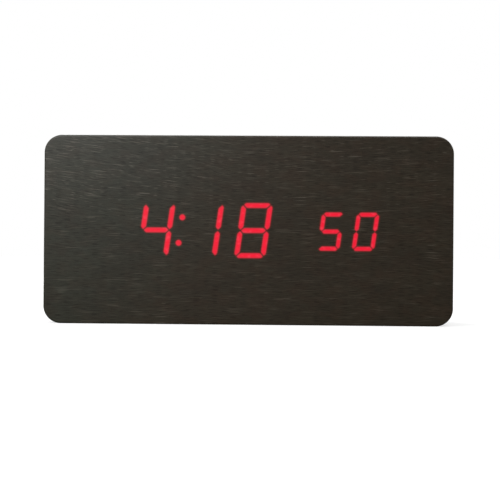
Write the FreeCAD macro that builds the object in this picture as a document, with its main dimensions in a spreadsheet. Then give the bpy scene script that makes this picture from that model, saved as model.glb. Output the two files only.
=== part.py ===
"""Wooden digital alarm clock: a foil-covered wooden block with a red seven-segment display behind the face.

Every length is in millimetres. The part stands on its flat base with its face towards -Y and +Z up.
The origin is the middle of the base's outline, half-way between face and back.
Pieces are described by x across the face, by depth behind the face's outer surface, and by z about
the face's centre. place() turns such a place into the part's own frame.
"""
import FreeCAD, Part
import math
import os
import re
import Sketcher
from FreeCAD import Vector

# name, size, what it is
SIZES = [
    ("case_width", 150.0, "overall width"),
    ("case_height", 69.3, "overall height"),
    ("case_depth", 45.0, "overall depth"),
    ("corner_radius", 6.5, "rounding of the face's four corners"),
    ("edge_radius", 0.6, "round-over between face and sides"),
    ("foil_thickness", 0.3, "wood-grain foil"),
    ("glue_line", 0.05, "glue between foil and wood"),
    ("board_thickness", 8.0, "front board"),
    ("wall_thickness", 6.0, "walls of the case frame"),
    ("post_size", 9.0, "square corner posts of the case frame"),

    ("cover_recess", 2.0, "rear cover's face inside the case's back rim"),
    ("cover_thickness", 2.0, "rear cover's plate"),
    ("cover_ledge", 2.5, "ledge that the rear cover rests on"),
    ("cover_gap", 0.25, "play round the rear cover"),
    ("cover_corner", 2.6, "corner rounding of the rebate for the rear cover"),
    ("cover_screw_radius", 1.3, "rear cover's screws, over the thread"),
    ("cover_screw_head_radius", 2.6, "rear cover's screw heads"),
    ("cover_screw_head_height", 1.2, "rear cover's screw heads"),
    ("cover_screw_length", 9.0, "under the head"),
    ("screw_head_sink", 0.9, "depth of the counterbores in the rear cover"),
    ("screw_hole_gap", 0.3, "radial play of a screw in the piece that it holds"),
    ("thread_gap", 0.05, "radial play of a screw in its pilot hole"),
    ("cross_slot_share", 0.6, "cross recess's length over the head's width"),
    ("cross_slot_width", 0.7, "cross recess in a screw head"),
    ("cross_slot_depth", 0.7, "cross recess in a screw head"),

    ("digit_slant", 8.0, "lean of the digits in degrees"),
    ("segment_gap", 0.3, "gap between neighbouring segments"),
    ("segment_depth", 3.0, "light guide of each segment"),
    ("corner_cut", 0.85, "where a digit's outer corners are cut off, from the corner of its centre lines"),
    ("clock_module_x", -24.64, "centre of the hours and minutes display"),
    ("clock_module_z", -0.1, "centre of the hours and minutes display"),
    ("clock_module_length", 71.4, "hours and minutes display"),
    ("clock_module_height", 26.5, "hours and minutes display"),
    ("clock_digit_rise", 18.55, "between the centre lines of the top and bottom bars"),
    ("clock_digit_span", 9.65, "between the centre lines of the uprights"),
    ("clock_digit_bar", 2.1, "thickness of the bars"),
    ("clock_digit_upright", 1.95, "width of the uprights"),
    ("clock_digit_pitch", 17.84, "from digit to digit"),
    ("colon_radius", 1.15, "dots between hours and minutes"),
    ("colon_rise", 9.5, "from dot to dot"),
    ("seconds_module_x", 36.6, "centre of the small display"),
    ("seconds_module_z", -0.3, "centre of the small display"),
    ("seconds_module_length", 25.2, "small display"),
    ("seconds_module_height", 19.0, "small display"),
    ("seconds_digit_rise", 12.6, "between the centre lines of the top and bottom bars"),
    ("seconds_digit_span", 6.77, "between the centre lines of the uprights"),
    ("seconds_digit_bar", 1.75, "thickness of the bars"),
    ("seconds_digit_upright", 1.6, "width of the uprights"),
    ("seconds_digit_pitch", 12.7, "from digit to digit"),
    ("window_gap", 0.3, "play round each display in its window"),
    ("pin_width", 0.5, "display pins"),
    ("pin_pitch", 2.54, "from pin to pin"),
    ("pin_hole_gap", 0.15, "play round a pin in its hole"),
    ("pin_tail", 1.4, "display pins behind the board"),
    ("clock_pin_rows", 22.86, "between the two rows of pins"),
    ("seconds_pin_rows", 15.24, "between the two rows of pins"),

    ("pcb_thickness", 1.6, "both circuit boards"),
    ("display_board_x", -5.0, "centre of the display board"),
    ("display_board_length", 118.0, "display board"),
    ("display_board_height", 37.0, "display board"),
    ("display_screw_span_x", 102.0, "between the display board's screws"),
    ("display_screw_span_z", 32.4, "between the display board's screws"),
    ("board_screw_radius", 1.0, "board screws, over the thread"),
    ("board_screw_head_radius", 1.9, "board screw heads"),
    ("board_screw_head_height", 1.3, "board screw heads"),
    ("board_screw_length", 6.0, "under the head"),

    ("chip_x", -10.0, "clock chip on the display board"),
    ("chip_length", 17.9, "clock chip's body"),
    ("chip_width", 7.5, "clock chip's body"),
    ("chip_height", 2.3, "clock chip's body"),
    ("chip_standoff", 0.15, "clock chip above the board"),
    ("chip_lead_pitch", 1.27, "from lead to lead"),
    ("chip_lead_width", 0.42, "clock chip's leads"),
    ("chip_lead_thickness", 0.2, "clock chip's leads"),
    ("chip_lead_reach", 1.4, "clock chip's leads beyond its side"),
    ("chip_dimple_radius", 0.5, "mark at the clock chip's first lead"),
    ("chip_dimple_inset", 1.2, "mark from the chip's two edges"),
    ("crystal_x", 2.5, "timing crystal's case, its lead end"),
    ("crystal_z", 6.8, "timing crystal"),
    ("crystal_radius", 1.0, "timing crystal's case"),
    ("crystal_length", 6.0, "timing crystal's case"),
    ("crystal_lead", 1.6, "timing crystal's leads"),
    ("crystal_lead_width", 0.3, "timing crystal's leads"),
    ("coin_x", -46.5, "backup cell"),
    ("coin_radius", 10.0, "backup cell"),
    ("coin_thickness", 3.2, "backup cell"),
    ("coin_edge", 0.35, "steps and chamfers of the backup cell"),
    ("coin_gap", 0.3, "play round the backup cell"),
    ("holder_size", 23.0, "backup cell's holder"),
    ("holder_floor", 1.2, "backup cell's holder"),
    ("holder_lip", 0.5, "backup cell's holder above the cell"),
    ("chip_part_pitch", 4.0, "from resistor to resistor, and from transistor to transistor"),
    ("resistor_length", 2.0, "resistor"),
    ("resistor_width", 1.25, "resistor"),
    ("resistor_height", 0.55, "resistor"),
    ("transistor_length", 2.9, "transistor"),
    ("transistor_width", 1.3, "transistor"),
    ("transistor_height", 1.0, "transistor"),
    ("transistor_leg", 0.2, "transistor above the board, and half a leg's width"),
    ("chip_row_x", -8.0, "first resistor and first transistor"),
    ("chip_row_z", 14.9, "resistors above and transistors below the middle"),
    ("capacitor_x", 21.0, "smoothing capacitor"),
    ("capacitor_z", 0.0, "smoothing capacitor"),
    ("capacitor_radius", 2.5, "smoothing capacitor"),
    ("capacitor_height", 7.0, "smoothing capacitor"),
    ("capacitor_pinch", 0.3, "smoothing capacitor's pinched ring and edge"),
    ("connector_width", 6.0, "ribbon connectors"),
    ("connector_length", 15.2, "ribbon connectors"),
    ("connector_height", 6.8, "ribbon connectors"),
    ("display_connector_x", 12.0, "ribbon connector on the display board"),
    ("key_connector_x", 28.0, "ribbon connector on the key board"),
    ("ribbon_width", 12.7, "ribbon cable"),
    ("ribbon_thickness", 0.9, "ribbon cable"),
    ("ribbon_gap", 0.1, "play round the ribbon cable's ends"),
    ("connector_slot", 2.0, "depth of the connectors' slots"),

    ("key_board_x", 30.5, "centre of the key board"),
    ("key_board_length", 55.0, "key board"),
    ("key_board_height", 34.0, "key board"),
    ("key_board_drop", 7.8, "from the rear cover's inner face to the key board"),
    ("key_post_radius", 2.5, "posts under the key board's screws"),
    ("key_post_span_x", 49.0, "between the posts"),
    ("key_post_span_z", 28.0, "between the posts"),
    ("button_x", 14.0, "the button nearest the battery door"),
    ("button_z", 8.0, "row of buttons"),
    ("button_pitch", 14.0, "from button to button"),
    ("button_radius", 3.0, "button"),
    ("button_gap", 0.15, "radial play of a button in its hole"),
    ("button_proud", 1.2, "button above the rear cover"),
    ("button_edge", 0.4, "rounding of the button's end"),
    ("flange_radius", 4.0, "button's flange inside the cover"),
    ("flange_thickness", 1.0, "button's flange"),
    ("flange_gap", 0.1, "from the flange to the rear cover"),
    ("stem_radius", 1.5, "button's stem"),
    ("stem_gap", 0.05, "from the stem to the switch's plunger"),
    ("key_switch_size", 6.0, "key switch"),
    ("key_switch_height", 3.5, "key switch without its plunger"),
    ("plunger_radius", 1.7, "key switch's plunger"),
    ("plunger_gap", 0.1, "radial play of the plunger"),
    ("plunger_height", 1.5, "plunger above the key switch"),
    ("plunger_root", 0.6, "plunger inside the key switch"),
    ("press_room", 0.5, "free depth below the plunger"),
    ("key_switch_leg", 0.7, "key switch's legs"),

    ("slide_switch_x", 29.5, "sound switch"),
    ("slide_switch_z", -9.5, "sound switch"),
    ("slide_switch_length", 9.0, "sound switch's body"),
    ("slide_switch_width", 4.4, "sound switch's body"),
    ("slide_switch_height", 3.8, "sound switch's body"),
    ("knob_length", 2.8, "sound switch's knob along its travel"),
    ("knob_width", 2.2, "sound switch's knob across its travel"),
    ("knob_travel", 2.0, "sound switch"),
    ("knob_gap", 0.2, "play round the knob"),
    ("knob_root", 1.6, "knob inside the body"),
    ("knob_proud", 1.1, "knob above the rear cover"),
    ("switch_recess", 0.8, "hollow in the rear cover round the sound switch"),
    ("switch_recess_margin", 2.2, "hollow beyond the slot"),

    ("jack_x", 46.5, "power inlet"),
    ("jack_z", -8.0, "power inlet"),
    ("jack_length", 8.0, "power inlet's body"),
    ("jack_height", 9.0, "power inlet's body"),
    ("jack_nose_radius", 3.2, "power inlet's round nose"),
    ("jack_gap", 0.2, "play round the nose, and from the body to the rear cover"),
    ("jack_bore_radius", 1.8, "takes a plug of 3.5"),
    ("jack_bore_depth", 9.0, "power inlet"),
    ("jack_pin_radius", 0.65, "power inlet's centre pin of 1.3"),
    ("jack_pin_sink", 0.6, "pin's tip inside the mouth"),

    ("buzzer_x", 14.0, "buzzer"),
    ("buzzer_z", -7.0, "buzzer"),
    ("buzzer_radius", 6.0, "buzzer"),
    ("buzzer_height", 7.2, "buzzer"),
    ("buzzer_hole_radius", 1.0, "buzzer's own hole"),
    ("grille_radius", 0.7, "holes over the buzzer"),
    ("grille_ring", 3.0, "ring of holes over the buzzer"),
    ("microphone_x", 38.2, "microphone"),
    ("microphone_z", -13.2, "microphone"),
    ("microphone_radius", 2.8, "microphone"),
    ("microphone_height", 4.6, "microphone"),
    ("sound_hole_radius", 0.8, "hole over the microphone"),
    ("thermistor_x", 54.0, "temperature bead"),
    ("thermistor_z", 2.0, "temperature bead"),
    ("bead_radius", 1.2, "temperature bead"),
    ("bead_height", 5.5, "temperature bead's centre above the board"),
    ("bead_lead_radius", 0.25, "temperature bead's leads"),
    ("bead_lead_pitch", 1.4, "temperature bead's leads"),
    ("vent_width", 1.0, "slots over the temperature bead"),
    ("vent_length", 5.0, "slots over the temperature bead"),
    ("vent_pitch", 2.2, "slots over the temperature bead"),

    ("bay_x", -34.0, "centre of the battery bay"),
    ("bay_wall", 2.0, "walls of the battery bay"),
    ("bay_floor", 1.5, "floor of the battery bay"),
    ("bay_slack", 0.3, "play above and below the row of cells"),
    ("cell_radius", 5.25, "battery cell"),
    ("cell_length", 44.5, "battery cell with its button end"),
    ("cell_pitch", 11.0, "from cell to cell"),
    ("cell_nub_radius", 1.9, "cell's button end"),
    ("cell_nub_height", 1.0, "cell's button end"),
    ("cell_edge", 0.5, "rounding of the cell's ends"),
    ("cell_door_gap", 0.45, "from the cells to the battery door"),
    ("cell_floor_gap", 0.15, "from the cells to the bay's floor"),
    ("contact_thickness", 0.4, "contact plates"),
    ("contact_width", 8.6, "contact plates, along the cells' diameter"),
    ("contact_gap", 0.05, "between a contact and what it touches"),
    ("dimple_height", 0.8, "from a contact plate to the cell's button end"),
    ("dimple_radius", 1.6, "raised dimple of a contact plate"),
    ("spring_length", 3.9, "contact spring as the cell holds it"),
    ("spring_wire_radius", 0.3, "contact spring's wire"),
    ("spring_base_radius", 4.0, "contact spring's wire centre at the plate"),
    ("spring_tip_radius", 2.4, "contact spring's wire centre at the cell"),
    ("spring_turns", 3.0, "contact spring"),
    ("tag_width", 2.0, "solder tags of the end contacts"),
    ("tag_reach", 2.2, "solder tags beyond the bay's floor"),
    ("tag_gap", 0.3, "play round a solder tag in its slot"),

    ("door_thickness", 1.6, "battery door"),
    ("door_overlap", 1.4, "battery door beyond the bay's inside"),
    ("door_gap", 0.25, "play round the battery door"),
    ("lug_width", 8.0, "battery door's two lugs"),
    ("lug_span", 30.0, "between the lugs' middles"),
    ("lug_thickness", 1.3, "battery door's lugs"),
    ("lug_gap", 0.3, "from the lugs to the rear cover's inner face"),
    ("lug_reach", 2.0, "battery door's lugs behind the cover"),
    ("lug_root", 2.4, "battery door's lugs on the door"),
    ("lug_swing", 1.2, "room in front of the lugs for their swing"),
    ("lug_notch_gap", 0.4, "play round each lug in the bay's wall"),
    ("grip_width", 12.0, "grip grooves in the battery door"),
    ("grip_groove", 0.8, "grip grooves in the battery door"),
    ("grip_depth", 0.4, "grip grooves in the battery door"),
    ("grip_z", 11.0, "middle of the grip grooves above the door's centre"),
    ("latch_width", 9.0, "battery door's springy latch"),
    ("latch_wall", 0.8, "battery door's springy latch"),
    ("latch_drop", 6.6, "from the door's inner face to the latch's bend"),
    ("latch_gap", 0.9, "between the latch's two legs"),
    ("latch_hook", 1.2, "latch behind the rear cover"),
    ("latch_hook_thickness", 1.1, "latch behind the rear cover"),
    ("latch_play", 0.25, "play round the latch"),
    ("thumb_width", 15.0, "finger notch in the rear cover"),
    ("thumb_height", 3.6, "finger notch in the rear cover"),
    ("thumb_depth", 0.9, "finger notch in the rear cover"),

    ("lead_radius", 0.65, "battery leads"),
    ("lead_end_gap", 0.1, "between a lead's end and what it is soldered to"),
    ("lead_drop", 6.6, "from the tags' ends to the battery leads' runs between the boards"),
    ("lead_sag", 1.0, "battery leads' slack"),
    ("lead_pad_inset", 5.0, "leads' pads from the key board's edge"),
    ("lead_pad_z", 4.5, "leads' pads above and below the middle"),
]

# places that several pieces share, as expressions of the sizes above
SKIN = "(foil_thickness + glue_line)"
BOARD_BACK = f"({SKIN} + board_thickness)"
PCB_BACK = f"({BOARD_BACK} + pcb_thickness)"
WOOD_HALF_WIDTH = f"(case_width / 2 - {SKIN})"
WOOD_HALF_HEIGHT = f"(case_height / 2 - {SKIN})"
CAVITY_HALF_WIDTH = f"({WOOD_HALF_WIDTH} - wall_thickness)"
CAVITY_HALF_HEIGHT = f"({WOOD_HALF_HEIGHT} - wall_thickness)"
REBATE_HALF_WIDTH = f"({CAVITY_HALF_WIDTH} + cover_ledge)"
REBATE_HALF_HEIGHT = f"({CAVITY_HALF_HEIGHT} + cover_ledge)"
COVER_BACK = "(case_depth - cover_recess)"
COVER_FRONT = f"({COVER_BACK} - cover_thickness)"
POST_X = f"({CAVITY_HALF_WIDTH} - post_size / 2)"
POST_Z = f"({CAVITY_HALF_HEIGHT} - post_size / 2)"
SCREW_SEAT = f"({COVER_BACK} - screw_head_sink)"
CLEAR = "(case_depth + 1)"

KEY_BACK = f"({COVER_FRONT} - key_board_drop)"
KEY_FRONT = f"({KEY_BACK} - pcb_thickness)"
PLUNGER_TOP = f"({KEY_BACK} + key_switch_height + plunger_height)"
SLIDE_TOP = f"({KEY_BACK} + slide_switch_height)"
KNOB_SLOT_LENGTH = "(knob_length + knob_travel + 2 * knob_gap)"
KNOB_SLOT_WIDTH = "(knob_width + 2 * knob_gap)"

DOOR_FRONT = f"({COVER_BACK} - door_thickness)"
CELL_DEPTH = f"({DOOR_FRONT} - cell_door_gap - cell_radius)"
BAY_FLOOR = f"({CELL_DEPTH} - cell_radius - cell_floor_gap)"
BAY_FRONT = f"({BAY_FLOOR} - bay_floor)"
BAY_HALF_LENGTH = "((cell_length + 2 * contact_thickness + dimple_height + spring_length) / 2)"
BAY_HALF_HEIGHT = "(1.5 * cell_pitch + bay_slack)"
DOOR_HALF_LENGTH = f"({BAY_HALF_LENGTH} + door_overlap)"
DOOR_HALF_HEIGHT = f"({BAY_HALF_HEIGHT} + door_overlap)"
LUG_BACK = f"({COVER_FRONT} - lug_gap)"
LUG_FRONT = f"({LUG_BACK} - lug_thickness)"
HOOK_BACK = f"({COVER_FRONT} - latch_play / 2)"
LATCH_INNER = f"({DOOR_HALF_HEIGHT} - latch_gap - latch_wall)"
LATCH_OUTER = f"({DOOR_HALF_HEIGHT} + latch_wall)"
LATCH_BEND = f"({DOOR_FRONT} - latch_drop)"
TAG_END = f"({BAY_FRONT} - tag_reach)"
LEAD_LEVEL = f"({TAG_END} - lead_drop)"

CELL_PLACES = ["cell_pitch", "0", "-cell_pitch"]
BUTTON_NAMES = ["down", "up", "set"]

# lit bars of each digit, named as seven-segment displays name them: a is the top bar, then clockwise
# b to f, and g is the bar in the middle
ALL_BARS = "abcdefg"
CLOCK_DIGITS = ["", "bcfg", "bc", "abcdefg"]
SECONDS_DIGITS = ["acdfg", "abcdef"]

# pins in each of a display's two rows, leads along each side of the chip, and parts in a row
PIN_COUNTS = {"clock": 7, "seconds": 5}
CHIP_LEADS = 14
RESISTORS = 8
TRANSISTORS = 6

# share of the shorter of two runs that the bend between them takes
BEND_SHARE = 0.45

doc = FreeCAD.newDocument("WoodenDigitalAlarmClock")
sheet = doc.addObject("Spreadsheet::Sheet", "Sizes")
SIZE_NAMES = {name for name, size, meaning in SIZES}


def fill_sheet():
    """Write each size into a row of the sheet: its name, its value under that alias, and its meaning."""
    for row, (name, size, meaning) in enumerate(SIZES, start=1):
        sheet.set(f"A{row}", name)
        sheet.set(f"B{row}", str(size))
        sheet.setAlias(f"B{row}", name)
        sheet.set(f"C{row}", meaning)
    doc.recompute()


def cells(text):
    """The expression text with every size name read from the sheet."""
    return re.sub(r"[a-z_]\w*", lambda word: "Sizes." + word[0] if word[0] in SIZE_NAMES else word[0], text)


def value(text):
    """The number that an expression gives now."""
    return float(sheet.evalExpression(cells(text)))


def bind(item, path, text):
    """Tie a property of an object to an expression of the sizes."""
    item.setExpression(path, cells(text))


def place(item, x="0", depth="0", z="0"):
    """Put an object's own origin at x, depth and z, as the top of this file describes them."""
    bind(item, "Placement.Base.x", x)
    bind(item, "Placement.Base.y", f"({depth}) - case_depth / 2")
    bind(item, "Placement.Base.z", f"({z}) + case_height / 2")
    return item


def new_body(label, x="0", depth="0", z="0"):
    """An empty body whose own Y is depth."""
    body = doc.addObject("PartDesign::Body", label)
    body.Label = label
    return place(body, x, depth, z)


def origin_feature(body, role):
    """One of a body's own origin planes or axes."""
    return next(item for item in body.Origin.OriginFeatures if item.Role == role)


def box(x0, x1, z0, z1):
    """Corners of an upright rectangle."""
    return [(x0, z0), (x1, z0), (x1, z1), (x0, z1)]


def centred(width, height, x="0", z="0"):
    """Corners of a rectangle about a point."""
    half_width = f"({width}) / 2"
    half_height = f"({height}) / 2"
    return box(f"{x} - {half_width}", f"{x} + {half_width}", f"{z} - {half_height}", f"{z} + {half_height}")


def hold(sketch, kind, item, point, text):
    """Dimension a point from the sketch's origin, tied to an expression."""
    index = sketch.addConstraint(Sketcher.Constraint(kind, -1, 1, item, point, value(text)))
    name = f"{kind}{index}"
    sketch.renameConstraint(index, name)
    bind(sketch, f"Constraints.{name}", text)


def hold_radius(sketch, item, text):
    """Dimension the radius of a circle or an arc, tied to an expression."""
    index = sketch.addConstraint(Sketcher.Constraint("Radius", item, value(text)))
    sketch.renameConstraint(index, f"Radius{index}")
    bind(sketch, f"Constraints.Radius{index}", text)


def draw_circle(sketch, x, z, radius):
    """Draw a circle held by its centre and radius."""
    item = sketch.addGeometry(Part.Circle(Vector(value(x), value(z), 0), Vector(0, 0, 1), value(radius)))
    hold(sketch, "DistanceX", item, 3, x)
    hold(sketch, "DistanceY", item, 3, z)
    hold_radius(sketch, item, radius)


def draw_rounded(sketch, half_width, half_height, radius):
    """Draw a rectangle about the origin with round corners: each side, then the arc at its end."""
    far_x, near_x = half_width, f"({half_width} - ({radius}))"
    far_z, near_z = half_height, f"({half_height} - ({radius}))"
    sides = [
        ((f"-{near_x}", f"-{far_z}"), (near_x, f"-{far_z}"), (near_x, f"-{near_z}")),
        ((far_x, f"-{near_z}"), (far_x, near_z), (near_x, near_z)),
        ((near_x, far_z), (f"-{near_x}", far_z), (f"-{near_x}", near_z)),
        ((f"-{far_x}", near_z), (f"-{far_x}", f"-{near_z}"), (f"-{near_x}", f"-{near_z}")),
    ]
    for quarter, places in enumerate(sides):
        start, end, centre = [Vector(value(x), value(z), 0) for x, z in places]
        line = sketch.addGeometry(Part.LineSegment(start, end))
        circle = Part.Circle(centre, Vector(0, 0, 1), value(radius))
        first_angle = (quarter - 1) * math.pi / 2
        sketch.addGeometry(Part.ArcOfCircle(circle, first_angle, first_angle + math.pi / 2))
        for point, (x, z) in enumerate(places[:2], start=1):
            hold(sketch, "DistanceX", line, point, x)
            hold(sketch, "DistanceY", line, point, z)
    for quarter in range(4):
        line, arc, following = 2 * quarter, 2 * quarter + 1, (2 * quarter + 2) % 8
        sketch.addConstraint(Sketcher.Constraint("Coincident", line, 2, arc, 1))
        sketch.addConstraint(Sketcher.Constraint("Coincident", arc, 2, following, 1))
        hold_radius(sketch, arc, radius)


def draw(sketch, shape):
    """Draw a list of corners as a closed outline, a tuple as a circle, a dict as a rounded rectangle."""
    if isinstance(shape, tuple):
        draw_circle(sketch, *shape)
        return
    if isinstance(shape, dict):
        draw_rounded(sketch, **shape)
        return
    first = sketch.GeometryCount
    corners = [Vector(value(x), value(z), 0) for x, z in shape]
    count = len(corners)
    for index in range(count):
        sketch.addGeometry(Part.LineSegment(corners[index], corners[(index + 1) % count]))
    for index in range(count):
        following = first + (index + 1) % count
        sketch.addConstraint(Sketcher.Constraint("Coincident", first + index, 2, following, 1))
    for index, (x, z) in enumerate(shape):
        hold(sketch, "DistanceX", first + index, 1, x)
        hold(sketch, "DistanceY", first + index, 1, z)


def new_sketch(body, name, role, shapes, offset="0"):
    """A sketch on one of the body's origin planes, moved along the plane's normal by offset."""
    sketch = body.newObject("Sketcher::SketchObject", f"{body.Label}_{name}_sketch")
    sketch.AttachmentSupport = [(origin_feature(body, role), "")]
    sketch.MapMode = "FlatFace"
    bind(sketch, "AttachmentOffset.Base.z", offset)
    for shape in shapes:
        draw(sketch, shape)
    return sketch


def block(body, name, shapes, start, end):
    """Add shapes seen from the front, from depth start to depth end."""
    sketch = new_sketch(body, name, "XZ_Plane", shapes, f"-({end})")
    pad = body.newObject("PartDesign::Pad", f"{body.Label}_{name}")
    pad.Profile = sketch
    bind(pad, "Length", f"({end}) - ({start})")
    doc.recompute()
    return pad


def cut(body, name, shapes, start, end):
    """Cut shapes seen from the front, from depth start to depth end."""
    before = body.Shape.Volume
    sketch = new_sketch(body, name, "XZ_Plane", shapes, f"-({start})")
    pocket = body.newObject("PartDesign::Pocket", f"{body.Label}_{name}")
    pocket.Profile = sketch
    bind(pocket, "Length", f"({end}) - ({start})")
    doc.recompute()
    if body.Shape.Volume >= before:
        raise RuntimeError(f"{pocket.Name} cuts nothing")
    return pocket


def side_block(body, name, corners, start, end):
    """Add a shape seen from the side, drawn as (depth, z), from x = start to x = end."""
    sketch = new_sketch(body, name, "YZ_Plane", [corners], start)
    pad = body.newObject("PartDesign::Pad", f"{body.Label}_{name}")
    pad.Profile = sketch
    bind(pad, "Length", f"({end}) - ({start})")
    doc.recompute()
    return pad


def turn(body, name, corners, about="depth"):
    """Add a turned shape: corners are (depth, radius) about the depth axis, or (x, radius) about x."""
    plane = "YZ_Plane" if about == "depth" else "XZ_Plane"
    sketch = new_sketch(body, name, plane, [corners])
    revolution = body.newObject("PartDesign::Revolution", f"{body.Label}_{name}")
    revolution.Profile = sketch
    revolution.ReferenceAxis = (sketch, ["H_Axis"])
    doc.recompute()
    return revolution


def repeat(body, features, *steps):
    """Repeat features: a step is (axis, pitch, count) for a row, or the name of a plane to mirror across."""
    transform = body.newObject("PartDesign::MultiTransform", f"{body.Label}_repeat")
    transform.Originals = features
    transformations = []
    for step in steps:
        if isinstance(step, str):
            part = body.newObject("PartDesign::Mirrored", f"{body.Label}_mirror")
            part.MirrorPlane = (origin_feature(body, step), [""])
        else:
            axis, pitch, count = step
            part = body.newObject("PartDesign::LinearPattern", f"{body.Label}_row")
            part.Direction = (origin_feature(body, axis), [""])
            part.Occurrences = count
            bind(part, "Length", f"({pitch}) * {count - 1}")
        transformations.append(part)
    transform.Transformations = transformations
    body.Tip = transform
    doc.recompute()
    return transform


def is_along(edge, axis):
    """Whether an edge is straight and parallel to the body's x, y or z."""
    if edge.Curve.TypeId != "Part::GeomLine":
        return False
    return abs(getattr(edge.tangentAt(edge.FirstParameter), axis)) > 0.999


def round_edges(body, radius, chosen):
    """Fillet the edges of the body's last feature for which chosen(edge) holds."""
    tip = body.Tip
    names = [f"Edge{index}" for index, edge in enumerate(tip.Shape.Edges, start=1) if chosen(edge)]
    if not names:
        raise RuntimeError(f"{body.Label} has no edge to round")
    fillet = body.newObject("PartDesign::Fillet", f"{body.Label}_rounding")
    fillet.Base = (tip, names)
    bind(fillet, "Radius", radius)
    doc.recompute()
    return fillet


def at_corners(half_width, half_height):
    """Chooses the edges along depth that stand at the four corners of a centred rectangle."""
    x = value(half_width)
    z = value(half_height)

    def chosen(edge):
        middle = edge.CenterOfMass
        return is_along(edge, "y") and abs(abs(middle.x) - x) < 0.01 and abs(abs(middle.z) - z) < 0.01

    return chosen


def four_circles(x, z, span_x, span_z, radius):
    """Circles at the corners of a rectangle about (x, z)."""
    return [
        (f"{x} {side_x} ({span_x}) / 2", f"{z} {side_z} ({span_z}) / 2", radius)
        for side_x in "+-"
        for side_z in "+-"
    ]


def plus_sign(size, width):
    """Corners of an upright cross about the origin, as wide and high as size."""
    far = f"{size} / 2"
    near = f"{width} / 2"
    quarter = [(far, near), (near, near), (near, far)]
    left = [(f"-{x}", z) for x, z in reversed(quarter)]
    top = quarter + left
    return top + [(x, f"-{z}") for x, z in reversed(top)]


def feature_of(label, shape):
    """An object that holds a shape worked out from the sheet's values."""
    item = doc.addObject("Part::Feature", label)
    item.Label = label
    item.Shape = shape
    return item


def group_of(label, items):
    """One node of several objects that are one bought-in piece."""
    group = doc.addObject("Part::Compound", label)
    group.Label = label
    group.Links = items
    doc.recompute()
    return group


def make_wood_foil():
    """Wood-grain foil drawn over the face and the four sides in one sheet, open at the back."""
    foil = new_body("wood_foil")
    block(foil, "outside", [centred("case_width", "case_height")], "0", "case_depth")
    round_edges(foil, "corner_radius", at_corners("case_width / 2", "case_height / 2"))
    round_edges(foil, "edge_radius", lambda edge: edge.BoundBox.YMax < 0.01)
    inside = {
        "half_width": "(case_width / 2 - foil_thickness)",
        "half_height": "(case_height / 2 - foil_thickness)",
        "radius": "corner_radius - foil_thickness",
    }
    cut(foil, "inside", [inside], "foil_thickness", CLEAR)
    return foil


def wooden_block(label, start, end):
    """A block with the outline that the foil goes round."""
    wood = new_body(label)
    outline = centred(f"2 * {WOOD_HALF_WIDTH}", f"2 * {WOOD_HALF_HEIGHT}")
    block(wood, "outline", [outline], start, end)
    round_edges(wood, f"corner_radius - {SKIN}", at_corners(WOOD_HALF_WIDTH, WOOD_HALF_HEIGHT))
    return wood


def make_front_board():
    """Fibreboard behind the face, with a window for each display and pilot holes for the display board."""
    board = wooden_block("front_board", SKIN, BOARD_BACK)
    for module in ("clock_module", "seconds_module"):
        length = f"{module}_length + 2 * window_gap"
        height = f"{module}_height + 2 * window_gap"
        window = centred(length, height, f"{module}_x", f"{module}_z")
        cut(board, f"{module}_window", [window], "0", CLEAR)
    pilots = four_circles("display_board_x", "0", "display_screw_span_x", "display_screw_span_z",
                          "board_screw_radius + thread_gap")
    cut(board, "pilots", pilots, f"{PCB_BACK} - board_screw_length - thread_gap", CLEAR)
    return board


def make_case_frame():
    """Fibreboard ring behind the front board: four walls, a post in each corner and a rebate at the back."""
    frame = wooden_block("case_frame", BOARD_BACK, "case_depth")
    width = CAVITY_HALF_WIDTH
    height = CAVITY_HALF_HEIGHT
    near_x = f"({width} - post_size)"
    near_z = f"({height} - post_size)"
    quarter = [(width, near_z), (near_x, near_z), (near_x, height)]
    top = quarter + [(f"-{x}", z) for x, z in reversed(quarter)]
    cavity = top + [(x, f"-{z}") for x, z in reversed(top)]
    cut(frame, "cavity", [cavity], "0", CLEAR)
    rebate = centred(f"2 * {REBATE_HALF_WIDTH}", f"2 * {REBATE_HALF_HEIGHT}")
    cut(frame, "rebate", [rebate], COVER_FRONT, CLEAR)
    round_edges(frame, "cover_corner", at_corners(REBATE_HALF_WIDTH, REBATE_HALF_HEIGHT))
    pilots = four_circles("0", "0", f"2 * {POST_X}", f"2 * {POST_Z}", "cover_screw_radius + thread_gap")
    cut(frame, "pilots", pilots, f"{SCREW_SEAT} - cover_screw_length - thread_gap", CLEAR)
    return frame


def make_rear_cover():
    """Moulded cover with the battery bay, the key board's posts and the openings for all that is worked."""
    cover = new_body("rear_cover")
    half_width = f"({REBATE_HALF_WIDTH} - cover_gap)"
    half_height = f"({REBATE_HALF_HEIGHT} - cover_gap)"
    block(cover, "plate", [centred(f"2 * {half_width}", f"2 * {half_height}")], COVER_FRONT, COVER_BACK)
    round_edges(cover, "cover_corner - cover_gap", at_corners(half_width, half_height))
    add_battery_bay(cover)
    key_posts = four_circles("key_board_x", "0", "key_post_span_x", "key_post_span_z", "key_post_radius")
    block(cover, "key_posts", key_posts, KEY_BACK, COVER_FRONT)
    pilots = four_circles("key_board_x", "0", "key_post_span_x", "key_post_span_z",
                          "board_screw_radius + thread_gap")
    cut(cover, "pilots", pilots, KEY_BACK, f"{KEY_FRONT} + board_screw_length + thread_gap")
    cut_cover_openings(cover)
    screws = ("0", "0", f"2 * {POST_X}", f"2 * {POST_Z}")
    holes = four_circles(*screws, "cover_screw_radius + screw_hole_gap")
    cut(cover, "screw_holes", holes, COVER_FRONT, CLEAR)
    seats = four_circles(*screws, "cover_screw_head_radius + screw_hole_gap")
    cut(cover, "screw_seats", seats, SCREW_SEAT, CLEAR)
    return cover


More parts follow.
